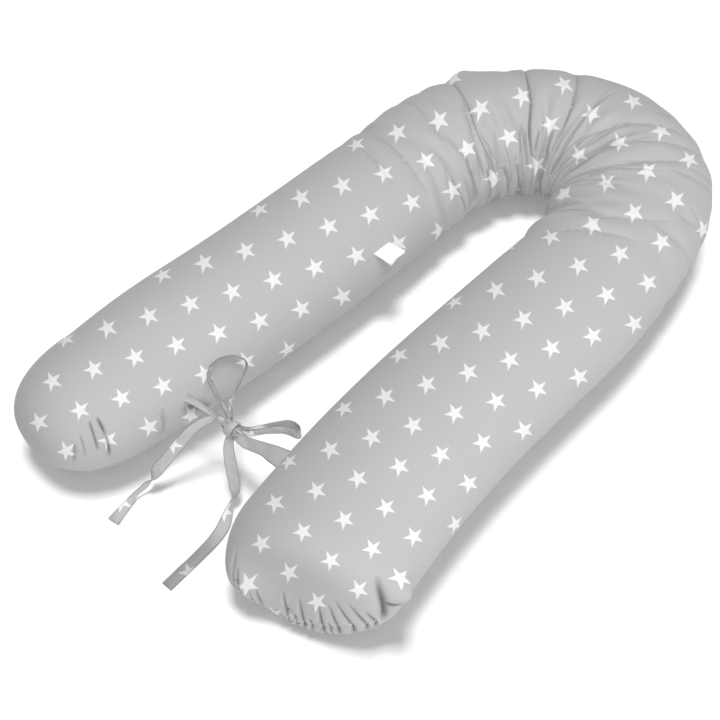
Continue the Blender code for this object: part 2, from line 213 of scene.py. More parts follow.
def coverGrid(spine, grid):
    # Places of the cover's points, the smooth cover through them, and its faces
    along = ringPlaces(spine, grid)[1:-1]
    turn = columnTurns(grid)
    rings, columns = len(along), len(turn)
    tips = [-tube["startEnd"][0], spine["length"] + tube["finishEnd"][0]]
    alongAll = np.append(np.repeat(along, columns), tips)
    turnAll = np.append(np.tile(turn, rings), [0, 0])
    faces = []
    for ring in range(rings - 1):
        base = ring * columns
        for column in range(columns):
            after = (column + 1) % columns
            faces.append((base + column, base + after, base + columns + after, base + columns + column))
    first, last = rings * columns, rings * columns + 1
    top = (rings - 1) * columns
    for column in range(columns):
        after = (column + 1) % columns
        faces.append((first, after, column))
        faces.append((last, top + column, top + after))
    return {
        "along": along, "turn": turn, "alongAll": alongAll, "turnAll": turnAll,
        "points": coverPoints(spine, alongAll, turnAll), "faces": faces,
    }


def meshOf(name, grid):
    mesh = bpy.data.meshes.new(name)
    mesh.from_pydata(grid["points"].tolist(), [], grid["faces"])
    mesh.validate()
    normals = np.zeros(len(grid["points"]) * 3, np.float32)
    mesh.vertex_normals.foreach_get("vector", normals)
    return mesh, normals.reshape(-1, 3).astype(float)


spine = makeSpine(tube)

# Folds of the cover. Each row: depth and width in mm, lean (which lip is fuller), and its route as
# (metres along the tube, degrees round it), where 0 is the outer side, 90 the top and 180 the inner side
folds = {
    "rows": (
        (11.0, 8.0, 0.6, ((0.653, 32), (0.642, 72), (0.622, 115), (0.614, 140), (0.632, 190))),
        (5.0, 6.0, 0.4, ((0.640, 82), (0.600, 128), (0.576, 175))),
        (12.0, 8.0, -0.5, ((0.737, 32), (0.732, 80), (0.730, 112), (0.724, 140), (0.744, 180))),
        (10.0, 8.5, 0.7, ((0.780, 30), (0.795, 80), (0.806, 125), (0.800, 155))),
        (6.0, 5.0, 0.0, ((0.565, 148), (0.565, 195))),
        (7.0, 5.0, 0.3, ((0.598, 156), (0.612, 205))),
        (7.0, 5.0, 0.0, ((0.648, 162), (0.676, 210))),
        (7.0, 5.0, 0.3, ((0.684, 162), (0.712, 210))),
        (4.5, 7.5, 0.3, ((0.860, 140), (0.888, 112), (0.910, 70), (0.926, 25))),
        (4.5, 7.5, 0.3, ((0.930, 150), (0.944, 92), (0.940, 35))),
        (4.0, 7.5, 0.0, ((0.990, 150), (0.984, 92), (0.960, 50))),
        (3.5, 8.0, 0.2, ((1.040, 158), (0.998, 112), (0.985, 80))),
        (3.5, 9.0, 0.2, ((1.114, 152), (1.112, 98), (1.054, 46))),
        (3.0, 9.0, 0.0, ((1.185, 140), (1.142, 90), (1.120, 60))),
        (3.5, 9.0, -0.3, ((0.590, 30), (0.575, 70), (0.542, 125))),
        (4.0, 9.0, -0.3, ((0.518, 30), (0.478, 110), (0.466, 150))),
        (3.0, 10.0, 0.0, ((0.482, 30), (0.455, 80), (0.430, 120))),
    ),
    "armRows": (  # creases of the far arm, which the simulation leaves alone
        (6.0, 9.0, 0.0, ((0.040, 172), (0.076, 200))),
        (1.6, 1.8, 0.0, ((0.018, 160), (0.010, 190))),
        (3.6, 1.5, 0.3, ((-0.047, 136), (-0.049, 158), (-0.054, 184))),
        (2.8, 1.3, 0.3, ((-0.055, 136), (-0.059, 152), (-0.062, 170))),
        (1.8, 1.5, 0.2, ((-0.078, 150), (-0.086, 180))),
        (1.2, 1.5, 0.2, ((-0.070, 145), (-0.075, 172))),
    ),
    "puffs": (  # where the bend's back stands up beside a crease: place, width, height
        ((0.670, 44), 0.022, 0.0085), ((0.728, 44), 0.012, 0.0025),
    ),
    "trough": (1.35, 1.15),  # how square a fold's bottom is, and how steep its sides are
    "lip": 0.34,
    "lipPlace": 1.9,  # in widths from the fold's line
    "lipWidth": 0.95,
    "lipsFrom": 45,  # degrees round the tube where the lips start to rise, and where they are full
    "lipsFull": 110,
    "lipsEnd": 300,
    "reach": 4.5,  # how far beside its line a fold is worked out, in widths
    "shortestFade": 2.5,  # how far along its line a fold fades in and out, in widths or as a share
    "startFade": 0.22,
    "paintedShadeFrom": 0.004,  # the depth from which a crease's painted shade is at its darkest, and how narrow that painted shade is
    "paintedShadeWidth": 1.3,
    "crispFrom": 0.0055,  # how deep a fold is that leaves a sharp crease when it has settled
    "crispShare": 0.24,  # the crease that is left at the bottom of a settled fold
    "faintShare": 0.30,
    "crispWidth": 0.0016,
    "backFrom": 0.49,  # where the bend's back stands up, and by how much
    "backTo": 1.06,
    "backHeight": 0.0062,
    "backEase": 0.12,
    "backDegrees": 60,  # its middle round the tube, and how far it reaches to either side
}


def distanceToRoute(points, route):
    # Each point's distance to a line of points, how far along it is, and which side it is on
    steps = np.diff(route, axis=0)
    lengths = np.linalg.norm(steps, axis=1)
    reached = lengthsAlong(route)
    nearest = np.full(len(points), np.inf)
    place = np.zeros(len(points))
    aside = np.zeros((len(points), 3))
    headed = np.zeros((len(points), 3))
    for start, step, length, before in zip(route, steps, lengths, reached):
        offset = points - start
        part = np.clip(offset @ step / length ** 2, 0, 1)
        apart = offset - part[:, None] * step
        away = np.linalg.norm(apart, axis=1)
        closer = away < nearest
        nearest[closer] = away[closer]
        place[closer] = before + part[closer] * length
        aside[closer] = apart[closer]
        headed[closer] = step / length
    return nearest, place, reached[-1], aside, headed


def routeOnCover(route):
    along, degrees = splinePoints(route, 10).T
    return coverPoints(spine, along, np.radians(degrees))


def eased(share):
    return share * share * (3 - 2 * share)


def nearFloor(points):
    # 0 where the cover lies on the floor, where nothing lifts it or presses it in
    return np.clip(points[:, 2] / tube["floorEase"], 0, 1)


def lipShares(turn):
    degrees = np.degrees(turn)
    share = np.clip((degrees - folds["lipsFrom"]) / (folds["lipsFull"] - folds["lipsFrom"]), 0, 1)
    return np.where(degrees > folds["lipsEnd"], 0, eased(share))


def foldRise(points, normals, lipShare, depth, width, lean, line, tail=0.30, faintest=0.35):
    # How far one fold presses the cover in or lifts it, and the painted shade along its crease; it fades out
    # over the tail, and its painted shade is faintest where its lips don't rise
    rise = np.zeros(len(points))
    shade = np.zeros(len(points))
    margin = folds["reach"] * width
    near = np.flatnonzero(np.all((points > line.min(0) - margin) & (points < line.max(0) + margin), axis=1))
    away, place, total, aside, headed = distanceToRoute(points[near], line)
    side = np.sign(np.einsum("ij,ij->i", np.cross(headed, normals[near]), aside))
    spread = away / width * side
    square, steep = folds["trough"]
    trough = -np.exp(-np.abs(spread) ** square * steep)
    lips = folds["lip"] * lipShare[near] * (
        (1 + lean) * np.exp(-((spread - folds["lipPlace"]) / folds["lipWidth"]) ** 2)
        + (1 - lean) * np.exp(-((spread + folds["lipPlace"]) / folds["lipWidth"]) ** 2)
    )
    shortest = folds["shortestFade"] * width
    fadeIn = place / max(shortest, folds["startFade"] * total)
    fadeOut = (total - place) / max(shortest, tail * total)
    fade = np.clip(np.minimum(fadeIn, fadeOut), 0, 1)
    fade *= 2 - fade
    rise[near] = depth * (trough + lips) * fade
    # Painted shade along the crease: darkest at its bottom and for deep folds
    shown = faintest + (1 - faintest) * lipShare[near]
    darkest = min(depth / folds["paintedShadeFrom"], 1)
    shade[near] = darkest * fade * shown * np.exp(-(folds["paintedShadeWidth"] * spread) ** 2)
    return rise, shade


# The end of the +X arm: its seam, the pleats drawn into it, the creases of the pocket at its corner,
# and the places where the filling pushes it out
armEnd = {
    "groove": (1.6, 1.9, 0.0),  # the seam's own depth and width in mm, and lean
    "seam": (
        (0.102, -0.430, 0.088), (0.106, -0.452, 0.064), (0.118, -0.464, 0.036), (0.140, -0.452, 0.020),
        (0.164, -0.433, 0.019), (0.187, -0.426, 0.025), (0.208, -0.419, 0.034), (0.228, -0.408, 0.045),
        (0.252, -0.388, 0.057),
    ),
    "pleats": (  # share of the seam, depth and width in mm, height above and below it in mm, lean
        (0.25, 3.0, 1.7, 34, 10, 0.3), (0.33, 2.0, 1.4, 22, 12, 0.0), (0.37, 3.0, 1.6, 34, 14, 0.3),
        (0.45, 2.2, 1.4, 12, 20, 0.0), (0.51, 3.6, 1.8, 44, 20, 0.3),
        (0.55, 3.0, 1.6, 14, 24, 0.0), (0.59, 3.4, 1.7, 40, 22, 0.3),
        (0.645, 2.6, 1.5, 12, 22, 0.0), (0.705, 3.6, 1.7, 34, 24, 0.2), (0.75, 2.2, 1.4, 8, 20, 0.0),
        (0.80, 3.2, 1.6, 34, 24, 0.3), (0.875, 3.4, 1.7, 36, 28, 0.3),
        (0.935, 3.2, 1.7, 32, 26, 0.4), (0.97, 3.0, 1.7, 20, 24, 0.4),
    ),
    "creases": (
        (9.0, 4.0, 0.8, (
            (0.251, -0.387, 0.050), (0.249, -0.387, 0.078), (0.244, -0.386, 0.096), (0.235, -0.381, 0.114),
        )),
        (5.0, 3.0, -0.4, ((0.250, -0.387, 0.080), (0.256, -0.374, 0.077), (0.258, -0.357, 0.076))),
    ),
    "lobes": (  # middle, width, height
        ((0.253, -0.367, 0.084), 0.012, 0.0125), ((0.112, -0.452, 0.045), 0.030, 0.0160),
        ((0.150, -0.440, 0.026), 0.035, 0.0060), ((0.195, -0.422, 0.024), 0.045, 0.0085),
    ),
    "pleatDepth": 1.2,
    "slant": (-0.2, -0.5),  # of the pleats along the seam, and what is added to it past slantFrom
    "slantFrom": 0.75,
    "slantOver": 0.15,
    "bulge": 0.1,  # how far a pleat's line leans out, as a share of its height
    "pocketTail": 0.6,
}


def onto(tree, points):
    return np.array([list(tree.find_nearest(Vector(point))[0]) for point in points])


def endSeamLine(tree):
    return onto(tree, splineThrough(armEnd["seam"], np.linspace(0, len(armEnd["seam"]) - 1, 90)))


def endRows(tree):
    seam = endSeamLine(tree)
    rows = [(*armEnd["groove"], seam)]
    for share, depth, width, above, below, lean in armEnd["pleats"]:
        foot = seam[round(share * (len(seam) - 1))]
        heights = np.linspace(-below / 1000, above / 1000, 16)
        past = min(max((share - armEnd["slantFrom"]) / armEnd["slantOver"], 0), 1)
        slant = armEnd["slant"][0] + armEnd["slant"][1] * past
        raised = np.maximum(heights, 0)
        points = foot + np.column_stack([slant * raised, armEnd["bulge"] * np.abs(heights), heights])
        depth *= armEnd["pleatDepth"]
        rows.append((depth, width, lean, onto(tree, points), above / (above + below), 1.0))
    for depth, width, lean, route in armEnd["creases"]:
        places = splineThrough(route, np.linspace(0, len(route) - 1, 10 * len(route)))
        rows.append((depth, width, lean, onto(tree, places), armEnd["pocketTail"], 1.0))
    return rows


# Fine creases that fan out from the inner side of the bend, and shorter ones on its outer side.
# Depths and widths are in mm, places in metres along the tube, and turns in degrees round it
fineCreases = {
    "seed": 4,
    "from": 0.50,
    "lean": (-0.5, 0.5),
    "inner": {
        "count": 46, "length": 0.62, "depth": (0.8, 1.9), "width": (1.4, 3.4), "shift": (-0.03, 0.02),
        "shiftTurns": 0.82,  # before it they lean the other way, by this share
        "shiftBefore": -0.6,
        "longFrom": 0.81,  # from here on they run further up the cover
        "longTop": (70, 130),
        "shortTop": (118, 152),
        "bottom": (150, 196),
        "middle": 0.4,  # the share of the shift that is reached halfway
    },
    "outer": {
        "count": 18, "length": 0.60, "depth": (0.8, 1.6), "width": (3.0, 5.0), "shift": (-0.02, 0.02),
        "bottom": (-8, 12),
        "top": (40, 75),
    },
}


def creaseRows():
    chance = random.Random(fineCreases["seed"])
    rows = []

    def startOf(look, number):
        return fineCreases["from"] + look["length"] * (number + chance.random()) / look["count"]

    def sizesOf(look):
        return [chance.uniform(*span) for span in (look["depth"], look["width"], fineCreases["lean"])]

    inner, outer = fineCreases["inner"], fineCreases["outer"]
    for number in range(inner["count"]):
        start = startOf(inner, number)
        shift = chance.uniform(*inner["shift"]) * (1 if start > inner["shiftTurns"] else inner["shiftBefore"])
        top = chance.uniform(*inner["longTop" if start > inner["longFrom"] else "shortTop"])
        bottom = chance.uniform(*inner["bottom"])
        middle = (start + shift * inner["middle"], (bottom + top) / 2)
        rows.append((*sizesOf(inner), ((start, bottom), middle, (start + shift, top))))
    for number in range(outer["count"]):
        start = startOf(outer, number)
        sizes = sizesOf(outer)
        foot = (start, chance.uniform(*outer["bottom"]))
        head = (start + chance.uniform(*outer["shift"]), chance.uniform(*outer["top"]))
        rows.append((*sizes, (foot, head)))
    return rows


# The long seams between the two panels of the cover
coverSeams = {
    "degrees": (158, -16),
    "depth": 0.35,  # in mm, as is the width
    "width": 2.4,
    "stretches": 11,
    "past": (-0.06, 0.02),  # from before the tube's start to past its finish
    "overlap": 0.004,
}


def seamRows():
    rows = []
    start, finish = coverSeams["past"][0], spine["length"] + coverSeams["past"][1]
    places = np.linspace(start, finish, coverSeams["stretches"] + 1)
    for degrees in coverSeams["degrees"]:
        for before, after in zip(places[:-1] - coverSeams["overlap"], places[1:] + coverSeams["overlap"]):
            route = ((before, degrees), (after, degrees))
            rows.append((coverSeams["depth"], coverSeams["width"], 0.0, route))
    return rows


# The filling holds the cover out and the bend gathers it: a cloth simulation of a coarser copy,
# whose cloth is cut for a gentler bend than it lies in
settling = {
    "grid": {"columns": 124, "armStep": 0.014, "bendStep": 0.0048, "endRings": 16},
    "straighter": 0.77,  # the bend that it is cut for, as a share of the one that it lies in
    "foldShare": 0.7,
    "deepestFold": 0.0042,
    "narrowestFold": 0.006,
    "bendFrom": (0.42, 0.08),  # where along the tube the cloth is free to move, and how softly that starts
    "bendTo": (1.22, 0.10),
    "ripple": {
        "height": 0.0010, "count": 14, "pace": (60, 220), "skew": (-0.05, 0.05), "seed": 3,
        "outer": 0.25,  # its share on the outer side of the bend
    },
    "inset": 0.002,  # the cover swells by about this much, so it starts smaller
    "holdBend": 0.06,  # how firmly points keep their place: in the bend, more on its outer side,
    "holdOuter": 0.30,
    "holdArms": 0.35,  # in the arms, and wholly below this height
    "holdBelow": 0.004,
    "frames": 24,
    "farthest": 0.018,
    "fabric": {
        "quality": 5, "mass": 0.2, "air_damping": 2.0,
        "tension_stiffness": 25, "compression_stiffness": 25, "shear_stiffness": 8, "bending_stiffness": 0.03,
        "tension_damping": 8, "compression_damping": 8, "shear_damping": 8, "bending_damping": 0.5,
        "use_pressure": True, "uniform_pressure_force": 3.0,
        "vertex_group_mass": "hold", "pin_stiffness": 1.0,
    },
}


def straighterSpine(spine, share):
    # The same tube bent less, with its outer side as long as before
    columns, along = spine["columns"], spine["along"]
    heading = np.unwrap(np.arctan2(columns[:, 3], columns[:, 2]))
    bend = np.gradient(heading, along)
    halfWidth = columns[:, 4]
    growth = (1 + halfWidth * np.abs(bend)) / (1 + halfWidth * np.abs(bend) * share)
    step = np.diff(along) * growth[1:]
    turned = heading[0] + np.concatenate([[0], np.cumsum(bend[1:] * share * step)])
    x = np.concatenate([[0], np.cumsum(np.cos(turned[1:]) * step)])
    y = np.concatenate([[0], np.cumsum(np.sin(turned[1:]) * step)])
    straight = np.column_stack([x, y, np.cos(turned), np.sin(turned), columns[:, 4:]])
    return {"along": along, "columns": straight, "length": spine["length"]}


def startRise(grid, normals, inBend, rows):
    # The main folds and a ripple that the cloth starts to settle from
    turn = grid["turnAll"]
    shares = lipShares(turn)
    rise = np.zeros(len(turn))
    for depth, width, lean, line in rows:
        depth = min(depth * settling["foldShare"], settling["deepestFold"])
        width = max(width, settling["narrowestFold"])
        rise += foldRise(grid["points"], normals, shares, depth, width, lean, line)[0]
    ripple = settling["ripple"]
    chance = random.Random(ripple["seed"])
    inner = ripple["outer"] + (1 - ripple["outer"]) * np.clip(-np.cos(turn), 0, 1)
    for number in range(ripple["count"]):
        pace, shift = chance.uniform(*ripple["pace"]), chance.uniform(0, 2 * math.pi)
        skew = chance.uniform(*ripple["skew"])
        wave = np.sin(pace * (grid["alongAll"] + skew * np.cos(turn)) + shift)
        rise += ripple["height"] * inBend * inner * wave
    return rise * nearFloor(grid["points"])


def settleCover(rows):
    # How far each point of the coarse cover moves as it settles
    grid = coverGrid(spine, settling["grid"])
    smooth = grid["points"]
    along, turn = grid["alongAll"], grid["turnAll"]
    mesh, normals = meshOf("settlingCover", grid)
    (bendFrom, easeFrom), (bendTo, easeTo) = settling["bendFrom"], settling["bendTo"]
    inBend = np.clip((along - bendFrom) / easeFrom, 0, 1) * np.clip((bendTo - along) / easeTo, 0, 1)
    rise = startRise(grid, normals, inBend, rows)
    start = smooth + normals * (rise - settling["inset"])[:, None]
    start[:, 2] = np.maximum(start[:, 2], 0)
    mesh.vertices.foreach_set("co", start.astype(np.float32).ravel())
    copy = addObject("settlingCover", mesh)
    copy.shape_key_add(name="Basis")
    cut = copy.shape_key_add(name="cut")
    cutPoints = coverPoints(straighterSpine(spine, settling["straighter"]), along, turn)
    cut.data.foreach_set("co", cutPoints.astype(np.float32).ravel())
    cut.value = 0
    hold = settling["holdBend"] + settling["holdOuter"] * np.clip(np.cos(turn), 0, 1)
    hold = np.maximum(hold, settling["holdArms"] * (1 - inBend))
    hold[smooth[:, 2] < settling["holdBelow"]] = 1.0
    hold = np.round(hold, 2)
    group = copy.vertex_groups.new(name="hold")
    for weight in np.unique(hold):
        group.add(np.flatnonzero(hold == weight).tolist(), float(weight), "REPLACE")
    cloth = copy.modifiers.new("settle", "CLOTH")
    cloth.collision_settings.use_collision = False
    cloth.collision_settings.use_self_collision = False
    cloth.point_cache.frame_start = 1
    cloth.point_cache.frame_end = settling["frames"]
    for name, value in settling["fabric"].items():
        setattr(cloth.settings, name, value)
    cloth.settings.effector_weights.gravity = 0
    cloth.settings.rest_shape_key = cut
    for number in range(1, settling["frames"] + 1):
        bpy.context.scene.frame_set(number)
    settled = copy.evaluated_get(bpy.context.evaluated_depsgraph_get())
    points = np.array([list(vertex.co) for vertex in settled.to_mesh().vertices])
    settled.to_mesh_clear()
    bpy.data.objects.remove(copy)
    bpy.data.meshes.remove(mesh)
    bpy.context.scene.frame_set(1)
    move = points - smooth
    reach = np.linalg.norm(move, axis=1)
    move *= (inBend * np.minimum(1, settling["farthest"] / np.maximum(reach, 1e-6)))[:, None]
    print("cover settled, farthest move", round(reach.max() * 1000, 1), "mm")
    return grid, move


def blendWeights(places, count, closed):
    # Weights of the four coarse rows round each place
    first = np.floor(places).astype(int)
    part = places - first
    shares = np.column_stack([
        -part + 2 * part ** 2 - part ** 3, 2 - 5 * part ** 2 + 3 * part ** 3,
        part + 4 * part ** 2 - 3 * part ** 3, part ** 3 - part ** 2,
    ]) / 2
    weights = np.zeros((len(places), count))
    for step in range(4):
        at = first + step - 1
        at = at % count if closed else np.clip(at, 0, count - 1)
        np.add.at(weights, (np.arange(len(places)), at), shares[:, step])
    return weights


def spreadMove(grid, move, fine):
    # The coarse cover's move carried over to the fine one
    rings, columns = len(grid["along"]), len(grid["turn"])
    atRing = np.interp(fine["along"], grid["along"], np.arange(rings))
    atColumn = np.interp(fine["turn"], np.append(grid["turn"], 2 * math.pi), np.arange(columns + 1))
    table = move[:-2].reshape(rings, columns, 3)
    ringWeights, columnWeights = blendWeights(atRing, rings, False), blendWeights(atColumn, columns, True)
    spread = np.einsum("ij,jkl,mk->iml", ringWeights, table, columnWeights, optimize=True)
    return np.vstack([spread.reshape(-1, 3), move[-2:]])


refining = (  # widest crease, how far round it edges are split (widths, metres), longest edge that stays
    (0.0100, 1.0, 0.0075, 0.0045),
    (0.0045, 1.7, 0.0018, 0.0020),
    (0.0024, 2.0, 0.0006, 0.0012),
)


def refineNear(grid, move, rows):
    # Splits the cover's faces near narrow creases, and carries its places and moves along
    split = bmesh.new()
    moveLayer = split.verts.layers.float_vector.new("move")
    placeLayer = split.verts.layers.float_vector.new("place")
    corners = []
    for point, shift, along, turn in zip(grid["points"], move, grid["alongAll"], grid["turnAll"]):
        corner = split.verts.new(point)
        corner[moveLayer] = shift
        corner[placeLayer] = (along, math.cos(turn), math.sin(turn))
        corners.append(corner)
    for face in grid["faces"]:
        split.faces.new([corners[number] for number in face])
    for widest, share, margin, longest in refining:
        marks = []
        for _, width, _, line, *_ in rows:
            if width <= widest:
                marks += [(point, share * width + margin) for point in line]
        tree = KDTree(len(marks))
        for number, (point, _) in enumerate(marks):
            tree.insert(point, number)
        tree.balance()
        near = set()
        for corner in split.verts:
            _, number, away = tree.find(corner.co)
            if away < marks[number][1]:
                near.add(corner)
        edges = [
            edge for edge in split.edges
            if edge.calc_length() > longest and edge.verts[0] in near and edge.verts[1] in near
        ]
        bmesh.ops.subdivide_edges(split, edges=edges, cuts=1, use_grid_fill=True)
    split.verts.index_update()
    places = np.array([list(corner[placeLayer]) for corner in split.verts])
    refined = {
        "points": np.array([list(corner.co) for corner in split.verts]),
        "faces": [[corner.index for corner in face.verts] for face in split.faces],
        "alongAll": places[:, 0],
        "turnAll": np.arctan2(places[:, 2], places[:, 1]) % (2 * math.pi),
    }
    moved = np.array([list(corner[moveLayer]) for corner in split.verts])
    split.free()
    return refined, moved


def routePoints(rows):
    return [(row[0] / 1000, row[1] / 1000, row[2], routeOnCover(row[3])) for row in rows]


def crispRow(depth, width, lean, line):
    # The sharp crease that a main fold leaves when it has settled
    share = folds["crispShare" if depth > folds["crispFrom"] else "faintShare"]
    return depth * share, folds["crispWidth"], lean, line


def fullness(grid):
    # Where the filling pushes the cover out: the bend's back, beside its creases, and the arm's end
    along, degrees = grid["alongAll"], np.degrees(grid["turnAll"])
    inside = np.minimum(along - folds["backFrom"], folds["backTo"] - along)
    lengthwise = np.clip(inside / folds["backEase"], 0, 1)
    middle = folds["backDegrees"]
    sideways = np.clip(1 - np.abs(degrees - middle) / middle, 0, 1)
    full = folds["backHeight"] * eased(lengthwise) * sideways * (2 - sideways)
    puffs = [
        (coverPoints(spine, np.array([place]), np.radians([turn])), width, height)
        for (place, turn), width, height in folds["puffs"]
    ]
    for middle, width, height in (*puffs, *armEnd["lobes"]):
        full += height * np.exp(-(np.linalg.norm(grid["points"] - middle, axis=1) / width) ** 2)
    return full


def makeCover():
    grid = coverGrid(spine, tube["fine"])
    tree = BVHTree.FromPolygons(grid["points"].tolist(), grid["faces"])
    mainRows = routePoints(folds["rows"])
    fineRows = routePoints((*folds["armRows"], *creaseRows()))
    fineRows += [(row[0] / 1000, row[1] / 1000, *row[2:]) for row in endRows(tree)]
    move = spreadMove(*settleCover(mainRows), grid)
    mainRows = [crispRow(*row) for row in mainRows]
    grid, move = refineNear(grid, move, (*mainRows, *fineRows))
    smooth = grid["points"]
    mesh, normals = meshOf("cover", grid)
    shares = lipShares(grid["turnAll"])
    rise = np.zeros(len(smooth))
    # Painted shade along the creases: the darkest one at each point
    shade = np.zeros(len(smooth))
    for row in (*mainRows, *fineRows):
        rowRise, rowShade = foldRise(smooth, normals, shares, *row)
        rise += rowRise
        shade = np.maximum(shade, rowShade)
    for row in routePoints(seamRows()):
        rise += foldRise(smooth, normals, shares, *row)[0]
    rise = (rise + fullness(grid)) * nearFloor(smooth)
    folded = smooth + move + normals * rise[:, None]
    folded[:, 2] = np.maximum(folded[:, 2], 0)
    mesh.vertices.foreach_set("co", folded.astype(np.float32).ravel())
    mesh.update()
    print("cover built:", sum(len(face.vertices) - 2 for face in mesh.polygons), "triangles")
    return mesh, grid, normals, shade


coverMesh, coverPlaces, smoothNormals, coverShade = makeCover()
smoothPoints = coverPlaces["points"]
cover = addObject("starCover", coverMesh)

# The star print: one lattice of stars as the photograph shows it, carried on round the hidden sides
starPrint = {
    "latticeStart": (330.1, 449.4),
    "latticeAcross": (41.57, -12.04),
    "latticeDown": (-13.64, 41.15),
    "tipRadius": 10.8,  # in the photograph's pixels
    "tipAngle": 187.5,
    "widestStretch": 1.8,
    "pixel": 0.00122,  # its size on the cloth, for the spacing round the other sides
    "hiddenRadius": 0.0132,
    "closestShare": 0.80,
    "hideDepth": 0.004,  # how deep a star may lie behind what hides it and still count as seen
    "pocketReach": 0.016,  # no star lies nearer than this to the end seam's last point
    "seamReach": 0.03,  # or nearer than this to the seam and further than this below it
    "belowSeam": 0.005,
    "most": 20,  # steps of the lattice to either side
    "pastEdge": 20,  # pixels past the photograph's edge
}


def printAxes(point, normal):
    # Axes on the cloth in which a star looks regular from the camera, up to the widest stretch
    away = point - cameraAxes["eye"]
    back = cameraAxes["back"]
    depth = -(away @ back)
    rows = [
        cameraAxes["focal"] / depth * (axis + back * (away @ axis) / depth)
        for axis in (cameraAxes["right"], cameraAxes["up"])
    ]
    first = np.cross(normal, (0.0, 0.0, 1.0) if abs(normal[2]) < 0.9 else (0.0, 1.0, 0.0))
    first /= np.linalg.norm(first)
    second = np.cross(normal, first)
    seen = np.array([[row @ first, row @ second] for row in rows])
    turnOut, sizes, turnIn = np.linalg.svd(seen)
    sizes[1] = max(sizes[1], sizes[0] / starPrint["widestStretch"])
    kept = turnOut @ np.diag(sizes) @ turnIn / starPrint["tipRadius"]
    return kept[0, 0] * first + kept[0, 1] * second, kept[1, 0] * first + kept[1, 1] * second


def foldedPlace(smoothTree, faces, smooth, folded, point):
    # Where a point near the smooth cover lies once the cover is folded
    place, _, number, _ = smoothTree.find_nearest(Vector(point))
    face = list(faces[number])
    share = np.array(poly_3d_calc([Vector(smooth[corner]) for corner in face], place))
    return share @ folded[face]


def placeStars(mesh, faces, smooth, normals):
    # Stars are seen on the folded cover, and printed on it where its cloth lies smooth
    folded = np.array([list(vertex.co) for vertex in mesh.vertices])
    tree = BVHTree.FromPolygons(folded.tolist(), faces)
    smoothTree = BVHTree.FromPolygons(smooth.tolist(), faces)
    endSeam = endSeamLine(smoothTree)
    eye, right, up, back = (cameraAxes[key] for key in ("eye", "right", "up", "back"))
    focal, half = cameraAxes["focal"], shot["imageSize"] / 2
    start, across, down = (np.array(starPrint["lattice" + key]) for key in ("Start", "Across", "Down"))
    tip = math.radians(starPrint["tipAngle"])
    stars = []

    def onSmooth(place, number):
        face = list(faces[number])
        share = np.array(poly_3d_calc([Vector(folded[corner]) for corner in face], place))
        normal = share @ normals[face]
        return share @ smooth[face], normal / np.linalg.norm(normal)

    def isSeen(point):
        way = Vector(foldedPlace(smoothTree, faces, smooth, folded, point) - eye)
        hit, _, _, distance = tree.ray_cast(Vector(eye), way.normalized())
        return hit is not None and distance > way.length - starPrint["hideDepth"]

    def showsAny(point, tipWay, sideWay):
        turns = np.radians(range(0, 360, 30))
        rim = [tipWay * math.cos(turn) + sideWay * math.sin(turn) for turn in turns]
        return isSeen(point) or any(isSeen(point + way * starPrint["hiddenRadius"]) for way in rim)

    steps, margin = range(-starPrint["most"], starPrint["most"] + 1), starPrint["pastEdge"]
    for i in steps:
        for j in steps:
            spot = start + i * across + j * down
            if spot.min() < -margin or spot.max() > shot["imageSize"] + margin:
                continue
            ray = -back + right * (spot[0] - half) / focal + up * (half - spot[1]) / focal
            hit, _, number, _ = tree.ray_cast(Vector(eye), Vector(ray).normalized())
            if hit is None:
                continue
            point, normal = onSmooth(hit, number)
            # Below the end seam, or hidden in the pocket at its corner
            away = np.linalg.norm(endSeam - point, axis=1)
            below = endSeam[away.argmin(), 2] - point[2]
            if away[-1] < starPrint["pocketReach"] or (
                away.min() < starPrint["seamReach"] and below > starPrint["belowSeam"]
            ):
                continue
            axisX, axisY = printAxes(point, normal)
            stars.append({
                "at": point, "normal": normal, "x": axisX, "y": axisY,
                "tip": right * math.cos(tip) + up * math.sin(tip),
            })
    seen = len(stars)
    # Angles from a star's first tip to its six neighbours, and how far away they are
    spots = []
    for way in (across, -across, down, -down, across + down, -across - down):
        angle = math.atan2(-way[1], way[0]) - tip
        spots.append((angle, np.linalg.norm(way) * starPrint["pixel"]))
    places = [star["at"] for star in stars]
    number = 0
    while number < len(stars):
        star = stars[number]
        number += 1
        tipWay = star["tip"] - (star["tip"] @ star["normal"]) * star["normal"]
        tipWay /= np.linalg.norm(tipWay)
        sideWay = np.cross(star["normal"], tipWay)
        for angle, reach in spots:
            goal = star["at"] + (tipWay * math.cos(angle) + sideWay * math.sin(angle)) * reach
            hit, normal, _, _ = smoothTree.find_nearest(Vector(goal))
            point, normal = np.array(hit), np.array(normal)
            if np.linalg.norm(np.array(places) - point, axis=1).min() < starPrint["closestShare"] * reach:
                continue
            newTip = tipWay - (tipWay @ normal) * normal
            newTip /= np.linalg.norm(newTip)
            newSide = np.cross(normal, newTip)
            if showsAny(point, newTip, newSide):
                continue
            stars.append({
                "at": point, "normal": normal, "tip": newTip,
                "x": (newTip * math.cos(tip) - newSide * math.sin(tip)) / starPrint["hiddenRadius"],
                "y": (newTip * math.sin(tip) + newSide * math.cos(tip)) / starPrint["hiddenRadius"],
            })
            places.append(point)
    print("stars:", seen, "seen in the photograph,", len(stars) - seen, "round the other sides")
    return stars


def starPlaces(mesh, smooth, stars):
    # Where each face's corners are on its nearest star
    centres, axisX, axisY = (np.array([star[key] for star in stars]) for key in ("at", "x", "y"))
    corners = [list(face.vertices) for face in mesh.polygons]
    middles = np.array([smooth[face].mean(axis=0) for face in corners])
    owner = np.concatenate([
        np.argmin(np.linalg.norm(part[:, None] - centres[None], axis=2), axis=1)
        for part in np.array_split(middles, 80)
    ])
    loopOwner = np.repeat(owner, [len(face) for face in corners])
    offset = smooth[np.concatenate(corners)] - centres[loopOwner]
    return np.column_stack([np.einsum("ij,ij->i", offset, axis[loopOwner]) for axis in (axisX, axisY)])


